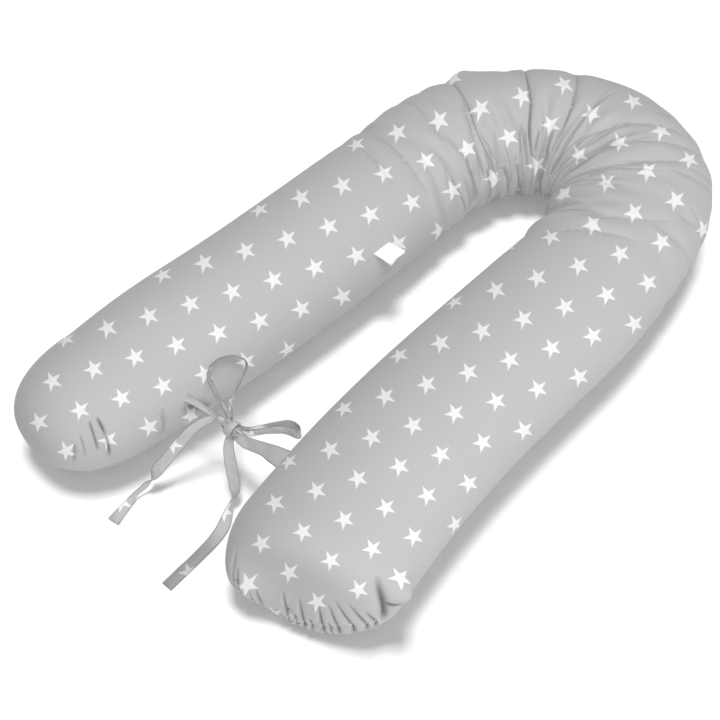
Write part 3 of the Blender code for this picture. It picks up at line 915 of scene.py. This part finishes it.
coverFaces = coverPlaces["faces"]
stars = placeStars(coverMesh, coverFaces, smoothPoints, smoothNormals)


def addCornerPlaces(mesh, name, places):
    layer = mesh.uv_layers.new(name=name)
    layer.data.foreach_set("uv", np.array(places, np.float32).ravel())


# Painted shade on the points, which darkens the cloth's colour
def addPaintedShade(mesh, depths):
    layer = mesh.attributes.new("paintedShade", "FLOAT", "POINT")
    layer.data.foreach_set("value", np.array(depths, np.float32))


def addCoverLayers():
    corners = np.concatenate([list(face.vertices) for face in coverMesh.polygons])
    across = coverPlaces["turnAll"] * tube["weaveRadius"]
    addCornerPlaces(coverMesh, "starPlace", starPlaces(coverMesh, smoothPoints, stars))
    addCornerPlaces(coverMesh, "weavePlace", np.column_stack([coverPlaces["alongAll"], across])[corners])
    # The creases' painted shade
    addPaintedShade(coverMesh, coverShade)


addCoverLayers()
coverMesh.shade_smooth()
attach(cover, "root")
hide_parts("pillow")


# Shader helpers
def addNode(tree, kind, **settings):
    node = tree.nodes.new(kind)
    for key, value in settings.items():
        setattr(node, key, value)
    return node


def feed(tree, node, socket, value):
    if isinstance(value, bpy.types.NodeSocket):
        tree.links.new(value, node.inputs[socket])
    else:
        node.inputs[socket].default_value = value


def calc(tree, operation, first, second=0.0, third=0.0):
    node = addNode(tree, "ShaderNodeMath", operation=operation)
    for socket, value in enumerate((first, second, third)[:len(node.inputs)]):
        feed(tree, node, socket, value)
    return node.outputs[0]


def addNoise(tree, place, scale, detail=2.0):
    noise = addNode(tree, "ShaderNodeTexNoise")
    for socket, value in (("Vector", place), ("Scale", scale), ("Detail", detail)):
        feed(tree, noise, socket, value)
    return noise.outputs[0]


def newMaterial(name, roughness):
    material = bpy.data.materials.new(name)
    material.use_nodes = True
    shader = material.node_tree.nodes["Principled BSDF"]
    shader.inputs["Roughness"].default_value = roughness
    return material, material.node_tree, shader


def finishCloth(tree, shader, colour, tone, height, strength, distance):
    # The colour, scaled by its tone, and a bump of the height
    scaled = addNode(tree, "ShaderNodeVectorMath", operation="SCALE")
    feed(tree, scaled, 0, colour)
    tree.links.new(tone, scaled.inputs["Scale"])
    tree.links.new(scaled.outputs[0], shader.inputs["Base Color"])
    bump = addNode(tree, "ShaderNodeBump")
    bump.inputs["Strength"].default_value = strength
    bump.inputs["Distance"].default_value = distance
    tree.links.new(height, bump.inputs["Height"])
    tree.links.new(bump.outputs[0], shader.inputs["Normal"])


def newGroup(name, inputs, outputs):
    group = bpy.data.node_groups.new(name, "ShaderNodeTree")
    for label, kind, value in inputs:
        socket = group.interface.new_socket(label, in_out="INPUT", socket_type=kind)
        if value is not None:
            socket.default_value = value
    for label, kind in outputs:
        group.interface.new_socket(label, in_out="OUTPUT", socket_type=kind)
    return group, group.nodes.new("NodeGroupInput"), group.nodes.new("NodeGroupOutput")


def starShapeGroup():
    # A five-pointed star, 1 unit from its middle to its tips
    group, given, result = newGroup(
        "starShape",
        (("Place", "NodeSocketVector", None), ("First tip", "NodeSocketFloat", 0.0),
         ("Waist", "NodeSocketFloat", 0.385), ("Softness", "NodeSocketFloat", 0.04)),
        (("Mask", "NodeSocketFloat"),),
    )
    parts = addNode(group, "ShaderNodeSeparateXYZ")
    group.links.new(given.outputs["Place"], parts.inputs[0])
    x, y = parts.outputs[0], parts.outputs[1]

    def lengthOf(first, second):
        squares = calc(group, "MULTIPLY", first, first), calc(group, "MULTIPLY", second, second)
        return calc(group, "SQRT", calc(group, "ADD", *squares))

    radius = lengthOf(x, y)
    angle = calc(group, "SUBTRACT", calc(group, "ARCTAN2", y, x), given.outputs["First tip"])
    sector = math.radians(72)
    turned = calc(group, "FLOORED_MODULO", calc(group, "ADD", angle, sector / 2), sector)
    folded = calc(group, "ABSOLUTE", calc(group, "SUBTRACT", turned, sector / 2))
    px = calc(group, "MULTIPLY", radius, calc(group, "COSINE", folded))
    py = calc(group, "MULTIPLY", radius, calc(group, "SINE", folded))
    waistX = calc(group, "MULTIPLY", given.outputs["Waist"], math.cos(sector / 2))
    waistY = calc(group, "MULTIPLY", given.outputs["Waist"], math.sin(sector / 2))
    edgeX = calc(group, "SUBTRACT", waistX, 1.0)
    cross = calc(group, "SUBTRACT", calc(group, "MULTIPLY", edgeX, py),
                 calc(group, "MULTIPLY", waistY, calc(group, "SUBTRACT", px, 1.0)))
    inside = calc(group, "DIVIDE", cross, lengthOf(edgeX, waistY))
    scaled = calc(group, "DIVIDE", inside, given.outputs["Softness"])
    mask = calc(group, "ADD", scaled, 0.5)
    mask.node.use_clamp = True
    group.links.new(mask, result.inputs["Mask"])
    return group


def cottonGroup():
    # Plain weave, soft unevenness and slubs: a height for the bump and a tone for the colour
    group, given, result = newGroup(
        "cottonWeave",
        (("Place", "NodeSocketVector", None), ("Thread", "NodeSocketFloat", 0.00045),
         ("Tone amount", "NodeSocketFloat", 0.05)),
        (("Height", "NodeSocketFloat"), ("Tone", "NodeSocketFloat")),
    )
    parts = addNode(group, "ShaderNodeSeparateXYZ")
    group.links.new(given.outputs["Place"], parts.inputs[0])
    turns = calc(group, "DIVIDE", math.pi, given.outputs["Thread"])
    warp = calc(group, "SINE", calc(group, "MULTIPLY", parts.outputs[0], turns))
    weft = calc(group, "SINE", calc(group, "MULTIPLY", parts.outputs[1], turns))
    threads = calc(group, "MULTIPLY_ADD", calc(group, "MULTIPLY", warp, weft), 0.5, 0.5)
    objectPlace = addNode(group, "ShaderNodeTexCoord").outputs["Object"]
    slub = addNoise(group, objectPlace, 260.0, 3.0)
    cloud = addNoise(group, objectPlace, 16.0)

    def blend(first, share, second):
        return calc(group, "MULTIPLY_ADD", first, share, calc(group, "MULTIPLY", second, 1 - share))

    height = blend(threads, 0.35, slub)
    mixed = blend(slub, 0.45, cloud)
    tone = calc(group, "MULTIPLY_ADD", calc(group, "SUBTRACT", mixed, 0.5), given.outputs["Tone amount"], 1.0)
    group.links.new(height, result.inputs["Height"])
    group.links.new(tone, result.inputs["Tone"])
    return group


starShape = starShapeGroup()
cottonWeave = cottonGroup()

fabricLook = {
    "grey": (0.478, 0.468, 0.474),
    "star": (0.80, 0.80, 0.805),
    "paintedShadeLevel": 0.28,  # how much of the colour is left under full painted shade: in creases, on tape rims, at the right free end
    "roughness": 0.88,
    "sheen": 0.15,
    "specular": 0.25,
    "thread": 0.00045,
    "softness": 0.06,
    "bump": (0.22, 0.0008),
}


def placeGroup(tree, group, uvMap, values):
    node = addNode(tree, "ShaderNodeGroup", node_tree=group)
    feed(tree, node, "Place", addNode(tree, "ShaderNodeUVMap", uv_map=uvMap).outputs[0])
    for socket, value in values.items():
        feed(tree, node, socket, value)
    return node


def cottonMaterial(name):
    material, tree, shader = newMaterial(name, fabricLook["roughness"])
    star = placeGroup(tree, starShape, "starPlace", {
        "First tip": math.radians(starPrint["tipAngle"]), "Softness": fabricLook["softness"],
    })
    weave = placeGroup(tree, cottonWeave, "weavePlace", {"Thread": fabricLook["thread"]})
    # Painted shade: this attribute darkens the colour, the stars' too, in the creases of the cover and the
    # knot, along the tapes' rims and over the right free end's last length
    depth = addNode(tree, "ShaderNodeAttribute", attribute_name="paintedShade")
    left = calc(tree, "MULTIPLY_ADD", depth.outputs["Fac"], fabricLook["paintedShadeLevel"] - 1, 1.0)
    printed = addNode(tree, "ShaderNodeMix", data_type="RGBA")
    tree.links.new(star.outputs["Mask"], printed.inputs[0])
    printed.inputs[6].default_value = (*fabricLook["grey"], 1)
    printed.inputs[7].default_value = (*fabricLook["star"], 1)
    # The weave's own tone, times the painted shade
    tone = calc(tree, "MULTIPLY", weave.outputs["Tone"], left)
    finishCloth(tree, shader, printed.outputs[2], tone, weave.outputs["Height"], *fabricLook["bump"])
    shader.inputs["Sheen Weight"].default_value = fabricLook["sheen"]
    shader.inputs["Specular IOR Level"].default_value = fabricLook["specular"]
    return material


coverMesh.materials.append(cottonMaterial("starCotton"))
print("cover cotton ready")

# The two tapes, tied in a bow. Each row: x, y, z, width, and the way that the width points, as a
# heading and a rise in degrees
tapes = {
    "thickness": 0.0011,
    "hem": 0.45,  # how much thicker the folded edges are
    # painted shade along each tape's rims
    "rimShade": 0.8,
    "curl": 0.16,
    "columns": 12,
    "stepsPerPoint": 8,
    "starRadius": 0.0125,
    "crumple": 0.00035,
    "left": {
        "strap": (
            (-0.096, -0.256, 0.087, 0.010, 90, 45), (-0.074, -0.250, 0.087, 0.009, 90, 45),
            (-0.052, -0.245, 0.083, 0.008, 90, 50), (-0.034, -0.242, 0.079, 0.007, 90, 55),
            (-0.018, -0.241, 0.076, 0.007, 90, 60),
        ),
        "loop": (
            (-0.018, -0.239, 0.078, 0.007, 20, 45), (-0.028, -0.232, 0.083, 0.008, 20, 45),
            (-0.042, -0.229, 0.091, 0.009, 10, 45), (-0.055, -0.226, 0.100, 0.011, 0, 45),
            (-0.066, -0.220, 0.107, 0.012, -15, 46), (-0.071, -0.210, 0.110, 0.012, -35, 48),
            (-0.071, -0.197, 0.110, 0.012, -42, 48), (-0.067, -0.185, 0.107, 0.012, -45, 48),
            (-0.060, -0.176, 0.102, 0.012, -40, 46), (-0.051, -0.176, 0.098, 0.012, -30, 44),
            (-0.045, -0.186, 0.094, 0.011, -20, 44), (-0.041, -0.201, 0.089, 0.010, -5, 45),
            (-0.035, -0.217, 0.084, 0.008, 10, 45), (-0.025, -0.229, 0.079, 0.007, 20, 45),
            (-0.014, -0.238, 0.075, 0.007, 20, 45),
        ),
        "freeEnd": (
            (-0.016, -0.240, 0.075, 0.007, 41, 10), (-0.026, -0.242, 0.079, 0.008, 41, 10),
            (-0.033, -0.248, 0.080, 0.009, 41, 5), (-0.041, -0.261, 0.077, 0.010, 41, 0),
            (-0.046, -0.275, 0.069, 0.012, 41, 0), (-0.051, -0.290, 0.055, 0.013, 41, 0),
            (-0.057, -0.305, 0.039, 0.014, 41, 10), (-0.062, -0.319, 0.024, 0.014, 41, 40),
            (-0.065, -0.331, 0.0130, 0.011, 60, 80), (-0.067, -0.345, 0.0085, 0.009, 120, 74),
            (-0.066, -0.361, 0.0040, 0.010, 165, 40), (-0.063, -0.383, 0.0018, 0.015, 190, 0),
        ),
        "stars": {"loop": ((0.170, 0.004), (0.181, -0.005)), "freeEnd": ((0.074, -0.006), (0.166, 0.007))},
    },
    "right": {
        "strap": (
            (-0.006, -0.243, 0.071, 0.009, 90, 45), (0.004, -0.244, 0.073, 0.011, 90, 40),
            (0.016, -0.244, 0.075, 0.013, 90, 35), (0.030, -0.243, 0.080, 0.014, 90, 30),
            (0.048, -0.243, 0.088, 0.017, 90, 15), (0.066, -0.245, 0.096, 0.024, 90, 0),
            (0.086, -0.246, 0.102, 0.026, 90, 0),
        ),
        "loop": (
            (-0.006, -0.237, 0.079, 0.008, 70, 80), (0.004, -0.237, 0.082, 0.010, 70, 80),
            (0.015, -0.231, 0.085, 0.012, 90, 85), (0.026, -0.221, 0.089, 0.013, 90, 85),
            (0.036, -0.211, 0.092, 0.014, 90, 85), (0.046, -0.204, 0.094, 0.014, 90, 85),
            (0.055, -0.2025, 0.0935, 0.014, 90, 85), (0.0600, -0.2055, 0.0925, 0.014, 90, 85),
            (0.057, -0.2090, 0.0910, 0.014, 90, 85), (0.047, -0.2110, 0.0900, 0.014, 90, 85),
            (0.036, -0.217, 0.0885, 0.012, 90, 85), (0.024, -0.2265, 0.0850, 0.010, 90, 85),
            (0.012, -0.236, 0.080, 0.009, 80, 85), (-0.002, -0.242, 0.077, 0.008, 70, 80),
        ),
        "freeEnd": (
            (-0.010, -0.243, 0.068, 0.009, 41, 0), (-0.008, -0.249, 0.064, 0.010, 41, 0),
            (-0.004, -0.255, 0.056, 0.012, 41, 0), (0.004, -0.261, 0.044, 0.0135, 41, 5),
            (0.011, -0.266, 0.031, 0.0135, 41, 15), (0.018, -0.271, 0.020, 0.0135, 48, 38),
            (0.023, -0.279, 0.0130, 0.0135, 80, 66), (0.029, -0.292, 0.0105, 0.0135, 165, 62),
            (0.037, -0.312, 0.0050, 0.0135, 195, 26), (0.040, -0.338, 0.0018, 0.0135, 195, 3),
            (0.041, -0.366, 0.0016, 0.0135, 180, 0), (0.042, -0.398, 0.0016, 0.0135, 180, 0),
        ),
        "stars": {"loop": ((0.030, 0.004), (0.140, -0.003)), "freeEnd": ((0.094, 0.007), (0.172, -0.007))},
        "shadedEnd": (0.085, 0.42),  # the free end's last length, darkened with painted shade, and how dark that painted shade is
    },
}
starless = (4.0, 4.0)  # a place on the print that no star reaches


def stripFromTable(rows, stepsPerPoint):
    # Centre line, width direction and half width of a strip at even steps along its table
    table = []
    for x, y, z, width, heading, rise in rows:
        heading, rise = math.radians(heading), math.radians(rise)
        across = (math.cos(heading) * math.cos(rise), math.sin(heading) * math.cos(rise), math.sin(rise))
        table.append((x, y, z, width, *across))
    smooth = splinePoints(table, stepsPerPoint)
    return smooth[:, :3] + np.array(tube["shift"]), smooth[:, 4:], smooth[:, 3] / 2


def addStrip(parts, centre, across, half, look, stars=(), crumple=0.0, phase=0.0, shadedEnd=(0.1, 0.0)):
    # A thin closed strip with hemmed edges; parts collects its points, faces and print coordinates
    ahead = np.gradient(centre, axis=0)
    ahead /= np.linalg.norm(ahead, axis=1)[:, None]
    across = across - np.einsum("ij,ij->i", across, ahead)[:, None] * ahead
    across /= np.linalg.norm(across, axis=1)[:, None]
    normal = np.cross(ahead, across)
    along = lengthsAlong(centre)
    columns = look["columns"]
    side = np.linspace(-1, 1, columns + 1)
    rim = np.where(np.abs(side) > 0.98, 0.35, 1.0)
    hem = np.exp(-((np.abs(side) - 0.86) / 0.12) ** 2)
    thick = look["thickness"] / 2 * rim * (1 + look["hem"] * hem)
    base = len(parts["points"])
    steps = len(centre)
    for step in range(steps):
        wave = crumple * (
            np.sin(along[step] * 210 + 2.1 * side + phase)
            + 0.6 * np.sin(along[step] * 370 - 3.3 * side + 2 * phase)
        )
        lift = look["curl"] * half[step] * (side ** 2 - 0.4) + wave * (1 - 0.4 * side ** 2)
        middleLine = centre[step] + np.outer(half[step] * side, across[step])
        for sign in (1, -1):
            layer = middleLine + np.outer(lift + sign * thick, normal[step])
            parts["points"].extend(layer.tolist())
            parts["place"].extend((along[step], half[step] * value) for value in side)
            # Painted shade: the rims darkened, and the free end's last length darkened
            dim = shadedEnd[1] * min(max((along[step] - along[-1]) / shadedEnd[0] + 1, 0) * 3, 1)
            parts["shade"].extend(np.maximum(look.get("rimShade", 0) * (np.abs(side) > 0.98), dim))
    row = 2 * (columns + 1)

    def addFace(*corners):
        places = [parts["place"][corner] for corner in corners]
        parts["faces"].append(corners)
        parts["weaveUv"].extend(places)
        if not stars:
            parts["starUv"].extend([starless] * len(places))
            return
        middle = [sum(values) / len(places) for values in zip(*places)]
        star = min(stars, key=lambda spot: math.dist(middle, spot))
        radius = tapes["starRadius"]
        parts["starUv"].extend(((s - star[0]) / radius, (t - star[1]) / radius) for s, t in places)

    for step in range(steps - 1):
        here, after = base + step * row, base + (step + 1) * row
        for column in range(columns):
            addFace(here + column, after + column, after + column + 1, here + column + 1)
            low = columns + 1 + column
            addFace(here + low, here + low + 1, after + low + 1, after + low)
        for column in (0, columns):
            ring = (here + column, here + columns + 1 + column, after + columns + 1 + column, after + column)
            addFace(*(ring if column == 0 else ring[::-1]))
    for step in (0, steps - 1):
        here = base + step * row
        for column in range(columns):
            low = here + columns + 1 + column
            ring = (here + column, here + column + 1, low + 1, low)
            addFace(*(ring if step == 0 else ring[::-1]))


# The knot: gathered cloth of both tapes, and a band of the right one round it
knot = {
    "middle": (-0.011, -0.241, 0.075),
    "rings": 22,
    "columns": 48,
    "lumps": {
        "left": {
            "offset": (-0.002, 0.0, 0.0), "radii": (0.0130, 0.0066, 0.0076), "creases": 0.12, "phase": 0.4,
        },
        "right": {
            "offset": (0.009, 0.002, 0.001), "radii": (0.0085, 0.0060, 0.0066), "creases": 0.14, "phase": 1.9,
        },
    },
    "band": {
        "radii": (0.0086, 0.0096), "width": 0.0110, "tilt": 0.002, "from": -120, "to": 250,
        "curl": -0.42, "crumple": 0.0004, "phase": 0.6,
    },
}
knotMiddle = np.array(knot["middle"]) + np.array(tube["shift"])


def addLump(parts, offset, radii, creases, phase):
    # A lump drawn into creases that run along x
    base = len(parts["points"])
    rings, columns = knot["rings"], knot["columns"]
    middle = knotMiddle + np.array(offset)
    for ring in range(rings + 1):
        polar = math.pi * ring / rings
        for column in range(columns):
            turn = 2 * math.pi * column / columns
            waves = math.cos(5 * turn + phase) + 0.6 * math.cos(9 * turn + 2 * phase + polar)
            ruck = 1 + creases * waves * math.sin(polar)
            parts["points"].append((
                middle[0] - radii[0] * math.cos(polar),
                middle[1] + radii[1] * math.sin(polar) * math.cos(turn) * ruck,
                middle[2] + radii[2] * math.sin(polar) * math.sin(turn) * ruck,
            ))
            parts["place"].append((0.02 * polar, 0.008 * turn))
            # Painted shade in the lump's creases, where it is drawn in
            parts["shade"].append(np.clip(4 * (1 - ruck), 0, 0.8))
    for ring in range(rings):
        for column in range(columns):
            after = (column + 1) % columns
            corners = (base + ring * columns + column, base + ring * columns + after,
                       base + (ring + 1) * columns + after, base + (ring + 1) * columns + column)
            parts["faces"].append(corners[::-1])
            parts["starUv"].extend([starless] * 4)
            parts["weaveUv"].extend(parts["place"][corner] for corner in corners[::-1])


def newParts():
    return {"points": [], "place": [], "faces": [], "shade": [], "starUv": [], "weaveUv": []}


def partsToObject(name, parts, material):
    mesh = bpy.data.meshes.new(name)
    mesh.from_pydata(parts["points"], [], parts["faces"])
    addCornerPlaces(mesh, "starPlace", parts["starUv"])
    addCornerPlaces(mesh, "weavePlace", parts["weaveUv"])
    addPaintedShade(mesh, parts["shade"])
    mesh.materials.append(material)
    mesh.shade_smooth()
    return addObject(name, mesh)


def addKnotBand(parts):
    # A ring of tape about the x axis
    band = knot["band"]
    turn = np.radians(np.linspace(band["from"], band["to"], 56))
    radiusY, radiusZ = band["radii"]
    ring = np.column_stack([band["tilt"] * np.sin(turn), radiusY * np.cos(turn), radiusZ * np.sin(turn)])
    across = np.tile((1.0, 0.15, 0.1), (len(turn), 1))
    half = np.full(len(turn), band["width"] / 2)
    look = {**tapes, "curl": band["curl"]}
    addStrip(parts, knotMiddle + ring, across, half, look, crumple=band["crumple"], phase=band["phase"])


def buildTie(name, side, node):
    parts = newParts()
    rows = tapes[side]
    for number, piece in enumerate(("strap", "loop", "freeEnd")):
        strip = stripFromTable(rows[piece], tapes["stepsPerPoint"])
        starSpots = rows["stars"].get(piece, ())
        extra = {"shadedEnd": rows["shadedEnd"]} if piece == "freeEnd" and "shadedEnd" in rows else {}
        addStrip(parts, *strip, tapes, starSpots, tapes["crumple"], number * 1.7, **extra)
    if side == "right":
        addKnotBand(parts)
    addLump(parts, **knot["lumps"][side])
    tie = partsToObject(name, parts, tapeCotton)
    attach(tie, "root")
    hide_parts(node)


tapeCotton = cottonMaterial("tapeCotton")
buildTie("tieLeft", "left", "tie_left")
buildTie("tieRight", "right", "tie_right")
print("tapes tied")

# The side label: a folded ribbon, left blank
label = {
    "rows": (  # x, y, z at the middle of its width, from the seam outwards
        (-0.072, 0.068, 0.1010), (-0.060, 0.069, 0.1020), (-0.048, 0.071, 0.1010), (-0.036, 0.074, 0.0960),
    ),
    "width": 0.030,
    "layerGap": 0.0007,
    "thickness": 0.00045,
    "white": (0.93, 0.94, 0.95),
    "thread": 0.0003,
    "tone": 0.03,
    "bump": (0.15, 0.0005),
    "roughness": 0.5,
}


def labelMaterial():
    material, tree, shader = newMaterial("labelRibbon", label["roughness"])
    weave = placeGroup(tree, cottonWeave, "weavePlace", {
        "Thread": label["thread"], "Tone amount": label["tone"],
    })
    finishCloth(tree, shader, label["white"], weave.outputs["Tone"], weave.outputs["Height"], *label["bump"])
    return material


def buildLabel():
    outward = splinePoints(label["rows"], 7) + np.array(tube["shift"])
    gap = label["layerGap"]
    apart = np.array((0, 0, gap)) * np.linspace(0, 1, len(outward))[:, None] ** 0.5
    upper, lower = outward + apart, outward - apart
    last = outward[-1]
    way = outward[-1] - outward[-2]
    way /= np.linalg.norm(way)
    turn = np.radians(np.linspace(-70, 70, 9))
    nose = last + np.outer(np.cos(turn), way) * gap + np.outer(np.sin(turn), (0, 0, gap))
    centre = np.vstack([lower, nose, upper[::-1]])
    across = np.tile((0.06, 1.0, 0.0), (len(centre), 1))
    parts = newParts()
    look = {"columns": 14, "thickness": label["thickness"], "hem": 0.0, "curl": 0.02}
    addStrip(parts, centre, across, np.full(len(centre), label["width"] / 2), look)
    tag = partsToObject("sideLabel", parts, labelMaterial())
    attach(tag, "root")
    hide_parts("label")
    print("label folded")


buildLabel()

# Stitches along the arm's end seam
stitches = {
    "from": 0.5,  # share of the seam where they start to show
    "until": 0.002,  # how far before its end they stop
    "length": 0.0030,
    "gap": 0.0012,
    "shortest": 0.0015,
    "radius": 0.00045,
    "proud": 0.0007,
    "thread": (0.88, 0.88, 0.88),
    "ply": 900.0,
    "bump": (0.3, 0.0002),
    "roughness": 0.6,
}


def threadMaterial():
    material, tree, shader = newMaterial("sewingThread", stitches["roughness"])
    ply = addNoise(tree, addNode(tree, "ShaderNodeTexCoord").outputs["Object"], stitches["ply"])
    tone = calc(tree, "MULTIPLY_ADD", ply, 0.2, 0.88)
    finishCloth(tree, shader, stitches["thread"], tone, ply, *stitches["bump"])
    return material


def addStitch(points, faces, start, end, lift):
    # One stitch: a short thread that bows up between its two holes
    steps, sides = 6, 6
    way = end - start
    way /= np.linalg.norm(way)
    side = np.cross(lift, way)
    side /= np.linalg.norm(side)
    lift = np.cross(way, side)
    base = len(points)
    for step in range(steps + 1):
        part = step / steps
        middle = start + (end - start) * part + lift * stitches["proud"] * math.sin(math.pi * part)
        radius = stitches["radius"] * (0.45 + 0.55 * math.sin(math.pi * part))
        for corner in range(sides):
            turn = 2 * math.pi * corner / sides
            points.append((middle + radius * (side * math.cos(turn) + lift * math.sin(turn))).tolist())
    for step in range(steps):
        for corner in range(sides):
            after = (corner + 1) % sides
            faces.append((base + step * sides + corner, base + step * sides + after,
                          base + (step + 1) * sides + after, base + (step + 1) * sides + corner))
    faces.append(tuple(base + corner for corner in range(sides))[::-1])
    faces.append(tuple(base + steps * sides + corner for corner in range(sides)))


def buildStitches():
    folded = np.array([list(vertex.co) for vertex in coverMesh.vertices])
    tree = BVHTree.FromPolygons(folded.tolist(), coverFaces)
    smoothTree = BVHTree.FromPolygons(smoothPoints.tolist(), coverFaces)
    line = endSeamLine(smoothTree)
    reached = lengthsAlong(line)
    points, faces = [], []
    place = reached[-1] * stitches["from"]
    while place + stitches["length"] < reached[-1] - stitches["until"]:
        ends = []
        for at in (place, place + stitches["length"]):
            spot = np.array([np.interp(at, reached, column) for column in line.T])
            ends.append(foldedPlace(smoothTree, coverFaces, smoothPoints, folded, spot))
        lift = np.array(tree.find_nearest(Vector((ends[0] + ends[1]) / 2))[1])
        if np.linalg.norm(ends[1] - ends[0]) > stitches["shortest"]:
            addStitch(points, faces, ends[0], ends[1], lift)
        place += stitches["length"] + stitches["gap"]
    mesh = bpy.data.meshes.new("endStitches")
    mesh.from_pydata(points, [], faces)
    mesh.materials.append(threadMaterial())
    mesh.shade_smooth()
    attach(addObject("endStitches", mesh), "root")
    print("stitches sewn")


buildStitches()

# Light and floor
studio = {
    "floorSize": 6.0,
    "floorLevel": -0.0005,
    "paper": (0.80, 0.80, 0.80, 1),
    "paperRoughness": 0.9,
    "floorGlow": 0.20,
    "world": 0.27,
    "lights": (  # name, place, size, power, casts shadows, what it lights
        ("topLight", (0.20, -0.16, 2.8), 1.6, 56.0, True, "pillow"),
        ("frontFill", (2.4, -1.3, 0.7), 1.6, 38.0, False, "pillow"),
        ("floorLight", (-0.42, 0.27, 9.0), 2.3, 690.0, True, "floor"),
    ),
    "pieces": ("starCover", "tieLeft", "tieRight", "sideLabel", "endStitches"),
}


def addStudio():
    size, level = studio["floorSize"], studio["floorLevel"]
    corners = [(x * size, y * size, level) for x, y in ((-1, -1), (1, -1), (1, 1), (-1, 1))]
    mesh = bpy.data.meshes.new("studioFloor")
    mesh.from_pydata(corners, [], [(0, 1, 2, 3)])
    floor = addObject("studioFloor", mesh)
    paper, tree, shader = newMaterial("whitePaper", studio["paperRoughness"])
    shader.inputs["Base Color"].default_value = studio["paper"]
    shader.inputs["Specular IOR Level"].default_value = 0.0
    shader.inputs["Emission Color"].default_value = (1, 1, 1, 1)
    seenDirectly = addNode(tree, "ShaderNodeLightPath").outputs["Is Camera Ray"]
    glow = calc(tree, "MULTIPLY", seenDirectly, studio["floorGlow"])
    tree.links.new(glow, shader.inputs["Emission Strength"])
    mesh.materials.append(paper)
    world = bpy.data.worlds.new("studioWorld")
    world.use_nodes = True
    sky = world.node_tree
    sky.nodes["Background"].inputs["Color"].default_value = (1, 1, 1, 1)
    seenSky = addNode(sky, "ShaderNodeLightPath").outputs["Is Camera Ray"]
    strength = calc(sky, "MULTIPLY_ADD", seenSky, 1 - studio["world"], studio["world"])
    sky.links.new(strength, sky.nodes["Background"].inputs["Strength"])
    bpy.context.scene.world = world
    lit = {"pillow": bpy.data.collections.new("pillowPieces"), "floor": bpy.data.collections.new("floorOnly")}
    for name in studio["pieces"]:
        lit["pillow"].objects.link(bpy.data.objects[name])
    lit["floor"].objects.link(floor)
    for name, place, width, power, shadows, what in studio["lights"]:
        data = bpy.data.lights.new(name, "AREA")
        data.size = width
        data.energy = power
        data.use_shadow = shadows
        light = addObject(name, data)
        light.location = place
        aim = Vector(shot["aim"]) - light.location
        light.rotation_euler = aim.to_track_quat("-Z", "Y").to_euler()
        light.light_linking.receiver_collection = lit[what]
    bpy.context.scene.view_settings.view_transform = "Standard"
    print("studio lit")


addStudio()
